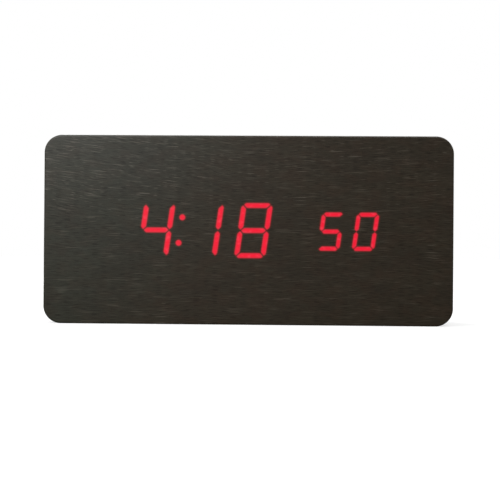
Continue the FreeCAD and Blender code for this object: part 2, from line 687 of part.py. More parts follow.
def add_battery_bay(cover):
    """The bay's tray, the recess for its door, and the notches for the door's lugs and latch."""
    outer = centred(f"2 * ({BAY_HALF_LENGTH} + bay_wall)", f"2 * ({BAY_HALF_HEIGHT} + bay_wall)", "bay_x")
    block(cover, "bay", [outer], BAY_FRONT, COVER_FRONT)
    inner = centred(f"2 * {BAY_HALF_LENGTH}", f"2 * {BAY_HALF_HEIGHT}", "bay_x")
    cut(cover, "bay_inside", [inner], BAY_FLOOR, CLEAR)
    recess = centred(f"2 * ({DOOR_HALF_LENGTH} + door_gap)", f"2 * ({DOOR_HALF_HEIGHT} + door_gap)", "bay_x")
    cut(cover, "door_recess", [recess], DOOR_FRONT, CLEAR)
    outer_bottom = f"-({BAY_HALF_HEIGHT} + bay_wall)"
    inner_bottom = f"-{BAY_HALF_HEIGHT}"
    recess_bottom = f"-({DOOR_HALF_HEIGHT} + door_gap)"
    lug_start = f"{LUG_FRONT} - lug_swing"
    for side in "-+":
        middle = f"bay_x {side} lug_span / 2"
        half = "(lug_width / 2 + lug_notch_gap)"
        left = f"{middle} - {half}"
        right = f"{middle} + {half}"
        cut(cover, "lug_notch", [box(left, right, outer_bottom, inner_bottom)], lug_start, COVER_FRONT)
        cut(cover, "lug_entry", [box(left, right, recess_bottom, inner_bottom)], lug_start, CLEAR)
    half = "(latch_width / 2 + latch_play)"
    left = f"bay_x - {half}"
    right = f"bay_x + {half}"
    latch_start = f"{LATCH_BEND} - latch_wall - latch_play"
    cut(cover, "latch_notch", [box(left, right, BAY_HALF_HEIGHT, f"{BAY_HALF_HEIGHT} + bay_wall")],
        latch_start, COVER_FRONT)
    cut(cover, "latch_entry", [box(left, right, BAY_HALF_HEIGHT, f"{LATCH_OUTER} + latch_play")],
        latch_start, CLEAR)
    thumb = box("bay_x - thumb_width / 2", "bay_x + thumb_width / 2", LATCH_OUTER,
                f"{LATCH_OUTER} + thumb_height")
    cut(cover, "thumb_notch", [thumb], f"{COVER_BACK} - thumb_depth", CLEAR)
    for side, level in (("+", "cell_pitch"), ("-", "-cell_pitch")):
        slot = centred("contact_thickness + 2 * tag_gap", "tag_width + 2 * tag_gap",
                       f"bay_x {side} ({BAY_HALF_LENGTH} - contact_gap - contact_thickness / 2)", level)
        cut(cover, "tag_slot", [slot], BAY_FRONT, f"{BAY_FLOOR} + tag_gap")


def cut_cover_openings(cover):
    """Holes for the buttons, sound switch, power inlet, buzzer, microphone and temperature bead."""
    buttons = [
        (f"button_x + {index} * button_pitch", "button_z", "button_radius + button_gap")
        for index in range(len(BUTTON_NAMES))
    ]
    cut(cover, "button_holes", buttons, COVER_FRONT, CLEAR)
    cut(cover, "knob_slot", [centred(KNOB_SLOT_LENGTH, KNOB_SLOT_WIDTH, "slide_switch_x", "slide_switch_z")],
        COVER_FRONT, CLEAR)
    hollow = centred(f"{KNOB_SLOT_LENGTH} + 2 * switch_recess_margin",
                     f"{KNOB_SLOT_WIDTH} + 2 * switch_recess_margin", "slide_switch_x", "slide_switch_z")
    cut(cover, "switch_hollow", [hollow], f"{COVER_BACK} - switch_recess", CLEAR)
    cut(cover, "jack_hole", [("jack_x", "jack_z", "jack_nose_radius + jack_gap")], COVER_FRONT, CLEAR)
    grille = [("buzzer_x", "buzzer_z", "grille_radius")]
    for index in range(6):
        angle = f"{60 * index} deg"
        x = f"buzzer_x + grille_ring * cos({angle})"
        z = f"buzzer_z + grille_ring * sin({angle})"
        grille.append((x, z, "grille_radius"))
    cut(cover, "grille", grille, COVER_FRONT, CLEAR)
    cut(cover, "sound_hole", [("microphone_x", "microphone_z", "sound_hole_radius")], COVER_FRONT, CLEAR)
    vents = [
        centred("vent_width", "vent_length", f"thermistor_x + {step} * vent_pitch", "thermistor_z")
        for step in (-1, 0, 1)
    ]
    cut(cover, "vents", vents, COVER_FRONT, CLEAR)


def make_screws(label, x, seat, z, span_x, span_z, kind, length, head):
    """Four cross-head screws on a rectangle. kind names their sizes; head is + if it faces the back."""
    screws = new_body(label, f"{x} - ({span_x}) / 2", seat, f"{z} - ({span_z}) / 2")
    radius = f"{kind}_radius"
    head_radius = f"{kind}_head_radius"
    height = f"{kind}_head_height"
    tail = "-" if head == "+" else "+"
    corners = [
        (f"{tail}{length}", "0"),
        (f"{tail}({length} - {radius})", radius),
        ("0", radius),
        ("0", head_radius),
        (f"{head}{height} / 2", head_radius),
        (f"{head}{height}", f"{head_radius} - {height} / 2"),
        (f"{head}{height}", "0"),
    ]
    shank = turn(screws, "screw", corners)
    cross = plus_sign(f"cross_slot_share * 2 * {head_radius}", "cross_slot_width")
    if head == "+":
        recess = cut(screws, "cross", [cross], f"{height} - cross_slot_depth", height)
    else:
        recess = cut(screws, "cross", [cross], f"-{height}", f"cross_slot_depth - {height}")
    repeat(screws, [shank, recess], ("X_Axis", span_x, 2), ("Z_Axis", span_z, 2))
    return screws


def make_battery_door():
    """Flat door with two lugs that reach behind the cover's lower lip, and grip grooves by the latch."""
    door = new_body("battery_door", "bay_x")
    block(door, "plate", [centred(f"2 * {DOOR_HALF_LENGTH}", f"2 * {DOOR_HALF_HEIGHT}")],
          DOOR_FRONT, COVER_BACK)
    half = "(latch_width / 2 + latch_play)"
    notch = box(f"-{half}", half, f"{LATCH_INNER} + latch_wall", f"{DOOR_HALF_HEIGHT} + door_gap")
    cut(door, "latch_notch", [notch], DOOR_FRONT, CLEAR)
    bottom = f"-{DOOR_HALF_HEIGHT}"
    lug = [
        (DOOR_FRONT, bottom),
        (DOOR_FRONT, f"{bottom} + lug_root"),
        (LUG_FRONT, f"{bottom} + lug_root"),
        (LUG_FRONT, f"{bottom} - lug_reach"),
        (LUG_BACK, f"{bottom} - lug_reach"),
        (LUG_BACK, bottom),
    ]
    for side in "-+":
        middle = f"{side}lug_span / 2"
        side_block(door, "lug", lug, f"{middle} - lug_width / 2", f"{middle} + lug_width / 2")
    grooves = [
        centred("grip_width", "grip_groove", "0", f"grip_z + {step} * 2 * grip_groove")
        for step in (-1, 0, 1)
    ]
    cut(door, "grip", grooves, f"{COVER_BACK} - grip_depth", CLEAR)
    return door


def make_battery_door_latch():
    """Springy hairpin at the door's upper edge, whose hook catches behind the cover's upper lip."""
    latch = new_body("battery_door_latch", "bay_x")
    inner = LATCH_INNER
    outer = LATCH_OUTER
    bend = f"({LATCH_BEND} - latch_wall)"
    profile = [
        (DOOR_FRONT, inner),
        (bend, inner),
        (bend, outer),
        (f"{HOOK_BACK} - latch_hook_thickness", outer),
        (f"{HOOK_BACK} - latch_hook_thickness / 3", f"{outer} + latch_hook"),
        (HOOK_BACK, f"{outer} + latch_hook"),
        (HOOK_BACK, outer),
        (COVER_BACK, outer),
        (COVER_BACK, f"{outer} - latch_wall"),
        (LATCH_BEND, f"{outer} - latch_wall"),
        (LATCH_BEND, f"{inner} + latch_wall"),
        (DOOR_FRONT, f"{inner} + latch_wall"),
    ]
    side_block(latch, "hairpin", profile, "-latch_width / 2", "latch_width / 2")
    return latch


def make_display_board():
    """Circuit board that carries both displays, screwed to the back of the front board."""
    board = new_body("display_board", "display_board_x")
    plate = centred("display_board_length", "display_board_height")
    block(board, "plate", [plate], BOARD_BACK, PCB_BACK)
    screws = four_circles("0", "0", "display_screw_span_x", "display_screw_span_z",
                          "board_screw_radius + screw_hole_gap")
    cut(board, "screw_holes", screws, BOARD_BACK, CLEAR)
    for module in ("clock", "seconds"):
        count = PIN_COUNTS[module]
        holes = [
            (f"{module}_module_x - display_board_x + {index - (count - 1) / 2} * pin_pitch",
             f"{module}_module_z {side} {module}_pin_rows / 2",
             "pin_width / sqrt(2) + pin_hole_gap")
            for index in range(count)
            for side in "+-"
        ]
        cut(board, f"{module}_pin_holes", holes, BOARD_BACK, CLEAR)
    return board


def make_pins(module):
    """Two rows of square pins from a display's back through the board."""
    count = PIN_COUNTS[module]
    rows = f"{module}_pin_rows"
    pins = new_body(f"{module}_digits_pins", f"{module}_module_x - {(count - 1) / 2} * pin_pitch", "0",
                    f"{module}_module_z - {rows} / 2")
    pin = block(pins, "pin", [centred("pin_width", "pin_width")], BOARD_BACK, f"{PCB_BACK} + pin_tail")
    repeat(pins, [pin], ("X_Axis", "pin_pitch", count), ("Z_Axis", rows, 2))
    return pins


def bar_outlines(rise, span, bar, upright, gap, corner_cut):
    """Outlines of the seven bars of an upright digit about its centre.

    Neighbours are parted by a gap along the 45 degree line through the point where their centre
    lines meet. The digit's outer corners are cut off square to that line. Bars that meet half-way
    up end in a point.
    """
    top = rise / 2
    side = span / 2
    part = gap / math.sqrt(2)
    half_bar = bar / 2
    half_upright = upright / 2
    across = (corner_cut - part) / 2
    along = (corner_cut + part) / 2
    bar_end = [
        (-side - corner_cut + half_bar, top + half_bar),
        (-side - across, top + along),
        (-side + part + half_bar, top - half_bar),
    ]
    bars = {"a": bar_end + [(-x, z) for x, z in reversed(bar_end)]}
    bars["f"] = [
        (-side - half_upright, top + corner_cut - half_upright),
        (-side - along, top + across),
        (-side + half_upright, top - part - half_upright),
        (-side + half_upright, part + half_upright),
        (-side, part),
        (-side - half_upright, part + half_upright),
    ]
    tip = -side + part
    middle_end = [(tip + half_bar, half_bar), (tip, 0), (tip + half_bar, -half_bar)]
    bars["g"] = middle_end + [(-x, z) for x, z in reversed(middle_end)]
    bars["b"] = [(-x, z) for x, z in bars["f"]]
    bars["c"] = [(-x, -z) for x, z in bars["f"]]
    bars["d"] = [(x, -z) for x, z in bars["a"]]
    bars["e"] = [(x, -z) for x, z in bars["f"]]
    return bars


def make_bars(module, label, digits):
    """Solid light guides for the named bars of each digit of a display, leaning by the digits' slant."""
    lean = math.tan(math.radians(value("digit_slant")))
    names = ("rise", "span", "bar", "upright")
    sizes = [value(f"{module}_digit_{name}") for name in names]
    outlines = bar_outlines(*sizes, value("segment_gap"), value("corner_cut"))
    depth = Vector(0, value("segment_depth"), 0)
    pitch = value(f"{module}_digit_pitch")
    solids = []
    for index, letters in enumerate(digits):
        centre = (index - (len(digits) - 1) / 2) * pitch
        for letter in letters:
            corners = [Vector(centre + x + z * lean, 0, z) for x, z in outlines[letter]]
            solids.append(Part.Face(Part.makePolygon(corners + corners[:1])).extrude(depth))
    if label == "clock_lit_segments":
        rise = value("colon_rise") / 2
        for z in (rise, -rise):
            foot = Vector(z * lean, 0, z)
            solids.append(Part.makeCylinder(value("colon_radius"), depth.y, foot, Vector(0, 1, 0)))
    bars = feature_of(label, Part.makeCompound(solids))
    return place(bars, f"{module}_module_x", SKIN, f"{module}_module_z")


def make_display(module, digits):
    """A display: its housing, the lit and the unlit light guides in its face, and its pins."""
    lit = make_bars(module, f"{module}_lit_segments", digits)
    rest = ["".join(letter for letter in ALL_BARS if letter not in letters) for letters in digits]
    unlit = make_bars(module, f"{module}_unlit_segments", rest)
    solid = new_body(f"{module}_digits_block", f"{module}_module_x", "0", f"{module}_module_z")
    outline = centred(f"{module}_module_length", f"{module}_module_height")
    block(solid, "outline", [outline], SKIN, BOARD_BACK)
    housing = doc.addObject("Part::Cut", f"{module}_digits_housing")
    housing.Label = f"{module}_digits_housing"
    housing.Base = solid
    housing.Tool = group_of(f"{module}_bars", [lit, unlit])
    doc.recompute()
    return [housing, lit, unlit, make_pins(module)]


def make_clock_chip():
    """Clock chip with two rows of bent leads, and a dimple that marks its first lead."""
    chip = new_body("clock_chip", "chip_x")
    start = f"({PCB_BACK} + chip_standoff)"
    end = f"({start} + chip_height)"
    block(chip, "package", [centred("chip_length", "chip_width")], start, end)
    dimple_x = "chip_dimple_inset - chip_length / 2"
    dimple_z = "chip_dimple_inset - chip_width / 2"
    cut(chip, "dimple", [(dimple_x, dimple_z, "chip_dimple_radius")], f"{end} - chip_lead_thickness", CLEAR)
    side = "chip_width / 2"
    knee = f"({side} + chip_lead_reach / 2)"
    level = f"({start} + chip_height / 2)"
    lead = [
        (level, side),
        (f"{level} + chip_lead_thickness", side),
        (f"{level} + chip_lead_thickness", f"{knee} + chip_lead_thickness"),
        (f"{PCB_BACK} + chip_lead_thickness", f"{knee} + chip_lead_thickness"),
        (f"{PCB_BACK} + chip_lead_thickness", f"{side} + chip_lead_reach"),
        (PCB_BACK, f"{side} + chip_lead_reach"),
        (PCB_BACK, knee),
        (level, knee),
    ]
    first = f"-{(CHIP_LEADS - 1) / 2} * chip_lead_pitch"
    half = "chip_lead_width / 2"
    lead_pad = side_block(chip, "lead", lead, f"{first} - {half}", f"{first} + {half}")
    repeat(chip, [lead_pad], ("X_Axis", "chip_lead_pitch", CHIP_LEADS), "XY_Plane")
    return chip


def make_clock_crystal():
    """Can-shaped timing crystal lying on the display board, with two leads bent down to it."""
    centre = f"{PCB_BACK} + crystal_radius + lead_end_gap"
    crystal = new_body("clock_crystal", "crystal_x", centre, "crystal_z")
    can = [
        ("0", "0"),
        ("0", "crystal_radius"),
        ("crystal_length - crystal_lead_width", "crystal_radius"),
        ("crystal_length", "crystal_radius - crystal_lead_width"),
        ("crystal_length", "0"),
    ]
    turn(crystal, "can", can, about="x")
    half = "crystal_lead_width / 2"
    board = "-(crystal_radius + lead_end_gap)"
    for side in "-+":
        middle = f"{side}crystal_radius / 2"
        low, high = f"{middle} - {half}", f"{middle} + {half}"
        block(crystal, "lead", [box("-crystal_lead", "0", low, high)], f"-{half}", half)
        foot = box("-crystal_lead", "crystal_lead_width - crystal_lead", low, high)
        block(crystal, "foot", [foot], board, f"-{half}")
    return crystal


def make_backup_cell_holder():
    """Square cup for the backup cell, with a finger gap at one side."""
    holder = new_body("backup_cell_holder", "coin_x", PCB_BACK)
    height = "holder_floor + coin_thickness + holder_lip"
    block(holder, "cup", [centred("holder_size", "holder_size")], "0", height)
    round_edges(holder, "holder_floor", at_corners("holder_size / 2", "holder_size / 2"))
    cut(holder, "seat", [("0", "0", "coin_radius + coin_gap")], "holder_floor", height)
    gap = box("coin_radius / 2", "holder_size / 2", "-coin_radius / 2", "coin_radius / 2")
    cut(holder, "finger_gap", [gap], "holder_floor", height)
    return holder


def make_backup_cell():
    """Coin cell that keeps the time while the batteries are changed."""
    coin = new_body("backup_cell", "coin_x", f"{PCB_BACK} + holder_floor")
    profile = [
        ("0", "0"),
        ("0", "coin_radius - 3 * coin_edge"),
        ("coin_edge", "coin_radius - 3 * coin_edge"),
        ("coin_edge", "coin_radius - coin_edge"),
        ("2 * coin_edge", "coin_radius"),
        ("coin_thickness - coin_edge", "coin_radius"),
        ("coin_thickness", "coin_radius - coin_edge"),
        ("coin_thickness", "0"),
    ]
    turn(coin, "coin", profile)
    return coin


def make_segment_resistors():
    """Row of small resistors, one for each bar of a digit and one for the colon."""
    row = new_body("segment_resistors", "chip_row_x", PCB_BACK, "chip_row_z")
    chip = block(row, "chip", [centred("resistor_length", "resistor_width")], "0", "resistor_height")
    repeat(row, [chip], ("X_Axis", "chip_part_pitch", RESISTORS))
    return row


def make_digit_transistors():
    """Row of small transistors, one for each digit, each on three legs."""
    row = new_body("digit_transistors", "chip_row_x", PCB_BACK, "-chip_row_z")
    package = block(row, "package", [centred("transistor_length", "transistor_width")],
                    "transistor_leg", "transistor_leg + transistor_height")
    legs = []
    for x, side in (("-transistor_length / 3", "-"), ("transistor_length / 3", "-"), ("0", "+")):
        leg = centred("2 * transistor_leg", "2 * transistor_leg", x,
                      f"{side}(transistor_width / 2 + transistor_leg)")
        foot = block(row, "leg", [leg], "0", "transistor_leg + transistor_height / 2")
        legs.append(foot)
    repeat(row, [package] + legs, ("X_Axis", "chip_part_pitch", TRANSISTORS))
    return row


def make_smoothing_capacitor():
    """Upright capacitor with the pinched ring above its foot."""
    capacitor = new_body("smoothing_capacitor", "capacitor_x", PCB_BACK, "capacitor_z")
    profile = [
        ("0", "0"),
        ("0", "capacitor_radius"),
        ("2 * capacitor_pinch", "capacitor_radius"),
        ("3 * capacitor_pinch", "capacitor_radius - capacitor_pinch"),
        ("4 * capacitor_pinch", "capacitor_radius"),
        ("capacitor_height - capacitor_pinch", "capacitor_radius"),
        ("capacitor_height", "capacitor_radius - capacitor_pinch"),
        ("capacitor_height", "0"),
    ]
    turn(capacitor, "can", profile)
    return capacitor


def make_connector(label, x, depth, towards):
    """Ribbon connector standing on a board, its slot for the ribbon away from the board."""
    connector = new_body(label, x, depth)
    outline = centred("connector_width", "connector_length")
    slot = centred("ribbon_thickness + 2 * ribbon_gap", "ribbon_width + 2 * ribbon_gap")
    if towards == "back":
        block(connector, "shell", [outline], "0", "connector_height")
        cut(connector, "slot", [slot], "connector_height - connector_slot", "connector_height")
    else:
        block(connector, "shell", [outline], "-connector_height", "0")
        cut(connector, "slot", [slot], "-connector_height", "connector_slot - connector_height")
    return connector


def bent_path(points):
    """Straight runs through points, joined by tangent arcs, and the least radius of those arcs."""
    edges = []
    radii = []
    start = points[0]
    for before, corner, after in zip(points, points[1:], points[2:]):
        arriving = corner - before
        leaving = after - corner
        half_turn = arriving.getAngle(leaving) / 2
        reach = BEND_SHARE * min(arriving.Length, leaving.Length)
        into = corner - arriving.normalize() * reach
        out = corner + leaving.normalize() * reach
        inwards = (into + out) * 0.5 - corner
        radius = reach / math.tan(half_turn)
        middle = corner + inwards.normalize() * (radius / math.cos(half_turn) - radius)
        edges.append(Part.LineSegment(start, into).toShape())
        edges.append(Part.Arc(into, middle, out).toShape())
        radii.append(radius)
        start = out
    edges.append(Part.LineSegment(start, points[-1]).toShape())
    return Part.Wire(edges), min(radii)


def make_ribbon_cable():
    """Flat ribbon from the display board's connector to the key board's, in an S between the two boards."""
    start = value(f"{PCB_BACK} + connector_height - connector_slot + ribbon_gap")
    end = value(f"{KEY_FRONT} - connector_height + connector_slot - ribbon_gap")
    left = value("display_connector_x")
    right = value("key_connector_x")
    middle = (start + end) / 2
    runs = [(left, start), (left, middle), (right, middle), (right, end)]
    points = [Vector(x, depth, 0) for x, depth in runs]
    path, radius = bent_path(points)
    print(f"ribbon_cable: least bend {radius:.2f}, length {path.Length:.1f}")
    half_width = value("ribbon_width") / 2
    half_thickness = value("ribbon_thickness") / 2
    corners = [
        Vector(left + x * half_thickness, start, z * half_width)
        for x, z in ((-1, -1), (1, -1), (1, 1), (-1, 1))
    ]
    section = Part.makePolygon(corners + corners[:1])
    ribbon = feature_of("ribbon_cable", path.makePipeShell([section], True, False))
    return place(ribbon)


def make_key_board():
    """Circuit board on the rear cover's posts, with everything that is worked or heard from the back."""
    board = new_body("key_board", "key_board_x", KEY_FRONT)
    block(board, "plate", [centred("key_board_length", "key_board_height")], "0", "pcb_thickness")
    holes = four_circles("0", "0", "key_post_span_x", "key_post_span_z",
                         "board_screw_radius + screw_hole_gap")
    cut(board, "screw_holes", holes, "0", "pcb_thickness")
    return board


def make_button(name, x):
    """Turned button: a stem on the switch's plunger, a flange inside the cover and the cap outside it."""
    button = new_body(f"{name}_button", x, "0", "button_z")
    flange_back = f"({COVER_FRONT} - flange_gap)"
    flange_front = f"({flange_back} - flange_thickness)"
    top = f"({COVER_BACK} + button_proud)"
    stem_end = f"({PLUNGER_TOP} + stem_gap)"
    profile = [
        (stem_end, "0"),
        (stem_end, "stem_radius"),
        (flange_front, "stem_radius"),
        (flange_front, "flange_radius"),
        (flange_back, "flange_radius"),
        (flange_back, "button_radius"),
        (f"{top} - button_edge", "button_radius"),
        (top, "button_radius - button_edge"),
        (top, "0"),
    ]
    turn(button, "cap", profile)
    return button


def make_key_switch(name, x):
    """Key switch: a square body with a bore for its plunger and four legs beside it."""
    switch = new_body(f"{name}_switch", x, "0", "button_z")
    top = f"{KEY_BACK} + key_switch_height"
    block(switch, "case", [centred("key_switch_size", "key_switch_size")], KEY_BACK, top)
    floor = f"{top} - plunger_root - press_room"
    cut(switch, "bore", [("0", "0", "plunger_radius + plunger_gap")], floor, top)
    legs = [
        centred("key_switch_leg", "key_switch_leg", f"{side}(key_switch_size + key_switch_leg) / 2", z)
        for side in "+-"
        for z in ("key_switch_size / 3", "-key_switch_size / 3")
    ]
    block(switch, "legs", legs, KEY_BACK, f"{KEY_BACK} + key_switch_leg")
    return switch


def make_plunger(name, x):
    """Plunger of a key switch, which its button pushes in."""
    plunger = new_body(f"{name}_plunger", x, "0", "button_z")
    root = f"{KEY_BACK} + key_switch_height - plunger_root"
    profile = [
        (root, "0"),
        (root, "plunger_radius"),
        (f"{PLUNGER_TOP} - plunger_gap", "plunger_radius"),
        (PLUNGER_TOP, "plunger_radius - plunger_gap"),
        (PLUNGER_TOP, "0"),
    ]
    turn(plunger, "plunger", profile)
    return plunger


def make_keys():
    """The three buttons, each with its key switch and plunger."""
    pieces = []
    for index, name in enumerate(BUTTON_NAMES):
        x = f"button_x + {index} * button_pitch"
        pieces += [make_button(name, x), make_key_switch(name, x), make_plunger(name, x)]
    return pieces


def make_sound_switch():
    """Slide switch for the sound control: its body on the key board, its knob through the cover."""
    body = new_body("sound_switch_body", "slide_switch_x", "0", "slide_switch_z")
    block(body, "case", [centred("slide_switch_length", "slide_switch_width")], KEY_BACK, SLIDE_TOP)
    slot = centred(KNOB_SLOT_LENGTH, KNOB_SLOT_WIDTH)
    cut(body, "slot", [slot], f"{SLIDE_TOP} - knob_root - knob_gap", SLIDE_TOP)
    knob = new_body("sound_switch_knob", "slide_switch_x - knob_travel / 2", "0", "slide_switch_z")
    top = f"{COVER_BACK} + knob_proud"
    block(knob, "knob", [centred("knob_length", "knob_width")], f"{SLIDE_TOP} - knob_root", top)
    grooves = [
        centred("knob_length / 7", "knob_width", f"{step} * knob_length / 7")
        for step in (-2, 0, 2)
    ]
    cut(knob, "grip", grooves, f"{top} - knob_length / 7", top)
    return [body, knob]


def make_dc_jack():
    """Upright power inlet, its round nose flush with the cover, and its centre pin."""
    jack = new_body("dc_jack", "jack_x", "0", "jack_z")
    block(jack, "case", [centred("jack_length", "jack_height")], KEY_BACK, f"{COVER_FRONT} - jack_gap")
    block(jack, "nose", [("0", "0", "jack_nose_radius")], f"{COVER_FRONT} - jack_gap", COVER_BACK)
    bore_end = f"({COVER_BACK} - jack_bore_depth)"
    cut(jack, "bore", [("0", "0", "jack_bore_radius")], bore_end, COVER_BACK)
    pin = new_body("dc_jack_pin", "jack_x", "0", "jack_z")
    tip = f"({COVER_BACK} - jack_pin_sink)"
    profile = [
        (bore_end, "0"),
        (bore_end, "jack_pin_radius"),
        (f"{tip} - jack_pin_radius / 2", "jack_pin_radius"),
        (tip, "jack_pin_radius / 2"),
        (tip, "0"),
    ]
    turn(pin, "pin", profile)
    return [jack, pin]


def make_buzzer():
    """Round buzzer with a sound hole in its top."""
    buzzer = new_body("buzzer", "buzzer_x", "0", "buzzer_z")
    top = f"({KEY_BACK} + buzzer_height)"
    profile = [
        (KEY_BACK, "0"),
        (KEY_BACK, "buzzer_radius"),
        (f"{top} - button_edge", "buzzer_radius"),
        (top, "buzzer_radius - button_edge"),
        (top, "buzzer_hole_radius"),
        (f"{top} - buzzer_hole_radius", "buzzer_hole_radius"),
        (f"{top} - buzzer_hole_radius", "0"),
    ]
    turn(buzzer, "can", profile)
    return buzzer


def make_microphone():
    """Microphone capsule with a sunk felt-covered middle."""
    capsule = new_body("microphone", "microphone_x", "0", "microphone_z")
    top = f"({KEY_BACK} + microphone_height)"
    profile = [
        (KEY_BACK, "0"),
        (KEY_BACK, "microphone_radius"),
        (f"{top} - button_edge", "microphone_radius"),
        (top, "microphone_radius - button_edge"),
        (top, "microphone_radius / 2"),
        (f"{top} - button_edge", "microphone_radius / 2"),
        (f"{top} - button_edge", "0"),
    ]
    turn(capsule, "capsule", profile)
    return capsule


def make_thermistor():
    """Temperature bead held off the key board on two leads, behind the cover's vents."""
    bead = doc.addObject("Part::Sphere", "bead")
    bind(bead, "Radius", "bead_radius")
    place(bead, "thermistor_x", f"{KEY_BACK} + bead_height", "thermistor_z")
    leads = []
    for side in "-+":
        lead = doc.addObject("Part::Cylinder", "bead_lead")
        bind(lead, "Radius", "bead_lead_radius")
        bind(lead, "Height", "bead_height")
        lead.Placement.Rotation = FreeCAD.Rotation(Vector(1, 0, 0), -90)
        leads.append(place(lead, f"thermistor_x {side} bead_lead_pitch / 2", KEY_BACK, "thermistor_z"))
    thermistor = doc.addObject("Part::MultiFuse", "thermistor")
    thermistor.Label = "thermistor"
    thermistor.Shapes = [bead] + leads
    doc.recompute()
    return thermistor


def make_battery_cells():
    """Three cells in a stack, each with its button end opposite to its neighbour's."""
    pieces = []
    for index, level in enumerate(CELL_PLACES):
        side = "-" if index == 1 else "+"
        far = f"({BAY_HALF_LENGTH} - contact_thickness - dimple_height)"
        near = f"({far} - cell_length)"
        shoulder = f"({far} - cell_nub_height)"
        profile = [
            (f"{side}{near}", "0"),
            (f"{side}{near}", "cell_radius - cell_edge"),
            (f"{side}({near} + cell_edge)", "cell_radius"),
            (f"{side}({shoulder} - cell_edge)", "cell_radius"),
            (f"{side}{shoulder}", "cell_radius - cell_edge"),
            (f"{side}{shoulder}", "cell_nub_radius"),
            (f"{side}{far}", "cell_nub_radius"),
            (f"{side}{far}", "0"),
        ]
        cell = new_body(f"battery_cell_{index + 1}", "bay_x", CELL_DEPTH, level)
        turn(cell, "cell", profile, about="x")
        pieces.append(cell)
    return pieces


def spring_wire(base_radius, tip_radius, length, turns, wire_radius):
    """A conical spring along +X from the origin, made of pairs of tangent arcs, each pair a quarter turn."""
    steps = round(4 * turns)

    def point(step):
        share = step / steps
        radius = base_radius + (tip_radius - base_radius) * share
        angle = 2 * math.pi * turns * share
        return Vector(length * share, radius * math.cos(angle), radius * math.sin(angle))

    def heading(step):
        small = 1e-4
        return (point(step + small) - point(step - small)).normalize()

    edges = []
    for step in range(steps):
        start, end = point(step), point(step + 1)
        leaving, arriving = heading(step), heading(step + 1)
        chord = end - start
        total = leaving + arriving
        spread = 2 * (1 - leaving.dot(arriving))
        along = chord.dot(total)
        reach = (math.sqrt(along * along + spread * chord.dot(chord)) - along) / spread
        first_corner = start + leaving * reach
        second_corner = end - arriving * reach
        joint = (first_corner + second_corner) * 0.5
        for near, corner, far in ((start, first_corner, joint), (joint, second_corner, end)):
            middle = (near + far) * 0.5
            half_turn = (corner - near).getAngle(far - corner) / 2
            sagitta = reach * math.tan(half_turn / 2)
            through = middle + (corner - middle).normalize() * sagitta
            edges.append(Part.Arc(near, through, far).toShape())
    least_gap = math.hypot(length / turns, (base_radius - tip_radius) / turns) - 2 * wire_radius
    print(f"contact spring: {turns:g} turns, least gap between turns {least_gap:.2f}")
    section = Part.Wire(Part.makeCircle(wire_radius, point(0), heading(0)))
    return Part.Wire(edges).makePipeShell([section], True, False)


def make_contact(label, side, plus_level, minus_level, tag_level=None):
    """A contact plate at one end of the bay: a dimple for a button end, a spring for a flat end, a tag.

    side is + at the bay's right end and - at its left end, seen from the front.
    """
    levels = [level for level in (plus_level, minus_level) if level is not None]
    plate = new_body(f"{label}_plate", "bay_x", CELL_DEPTH, levels[0])
    outer = f"{side}({BAY_HALF_LENGTH} - contact_gap)"
    inner = f"{side}({BAY_HALF_LENGTH} - contact_gap - contact_thickness)"
    offsets = [f"({level}) - ({levels[0]})" for level in levels]
    ordered = sorted(offsets, key=value)
    low = f"{ordered[0]} - contact_width / 2"
    high = f"{ordered[-1]} + contact_width / 2"
    floor = f"({BAY_FLOOR} + contact_gap - {CELL_DEPTH})"
    block(plate, "sheet", [box(inner, outer, low, high)], floor, "contact_width / 2")
    if tag_level is not None:
        tag = box(inner, outer, "-tag_width / 2", "tag_width / 2")
        block(plate, "tag", [tag], f"{TAG_END} - {CELL_DEPTH}", floor)
    if plus_level is not None:
        tip = f"{side}({BAY_HALF_LENGTH} - contact_thickness - dimple_height + contact_gap)"
        dimple = [(inner, "0"), (inner, "dimple_radius"), (tip, "dimple_radius / 2"), (tip, "0")]
        turn(plate, "dimple", dimple, about="x")
    if minus_level is None:
        plate.Label = label
        return plate
    wire = value("spring_wire_radius")
    length = value("spring_length - 3 * contact_gap - 2 * spring_wire_radius")
    shape = spring_wire(value("spring_base_radius"), value("spring_tip_radius"), length,
                        value("spring_turns"), wire)
    if side == "+":
        shape.rotate(Vector(0, 0, 0), Vector(0, 0, 1), 180)
    spring = feature_of(f"{label}_spring", shape)
    start = f"bay_x {side} ({BAY_HALF_LENGTH} - 2 * contact_gap - contact_thickness - spring_wire_radius)"
    place(spring, start, CELL_DEPTH, minus_level)
    return group_of(label, [plate, spring])


def make_contacts():
    """The four contacts that put the three cells in series."""
    top, middle, bottom = CELL_PLACES
    return [
        make_contact("positive_contact", "+", top, None, top),
        make_contact("left_link_contact", "-", middle, top),
        make_contact("right_link_contact", "+", bottom, middle),
        make_contact("negative_contact", "-", None, bottom, bottom),
    ]


def make_lead(label, points):
    """An insulated wire through points given as (x, depth, z) expressions."""
    places = [Vector(value(x), value(depth), value(z)) for x, depth, z in points]
    path, radius = bent_path(places)
    thickness = value("lead_radius")
    section = Part.Wire(Part.makeCircle(thickness, places[0], places[1] - places[0]))
    shape = path.makePipeShell([section], True, False)
    plain = math.pi * thickness ** 2 * path.Length
    print(f"{label}: least bend {radius:.1f}, length {path.Length:.0f}, to plain {shape.Volume / plain:.4f}")
    return place(feature_of(label, shape))


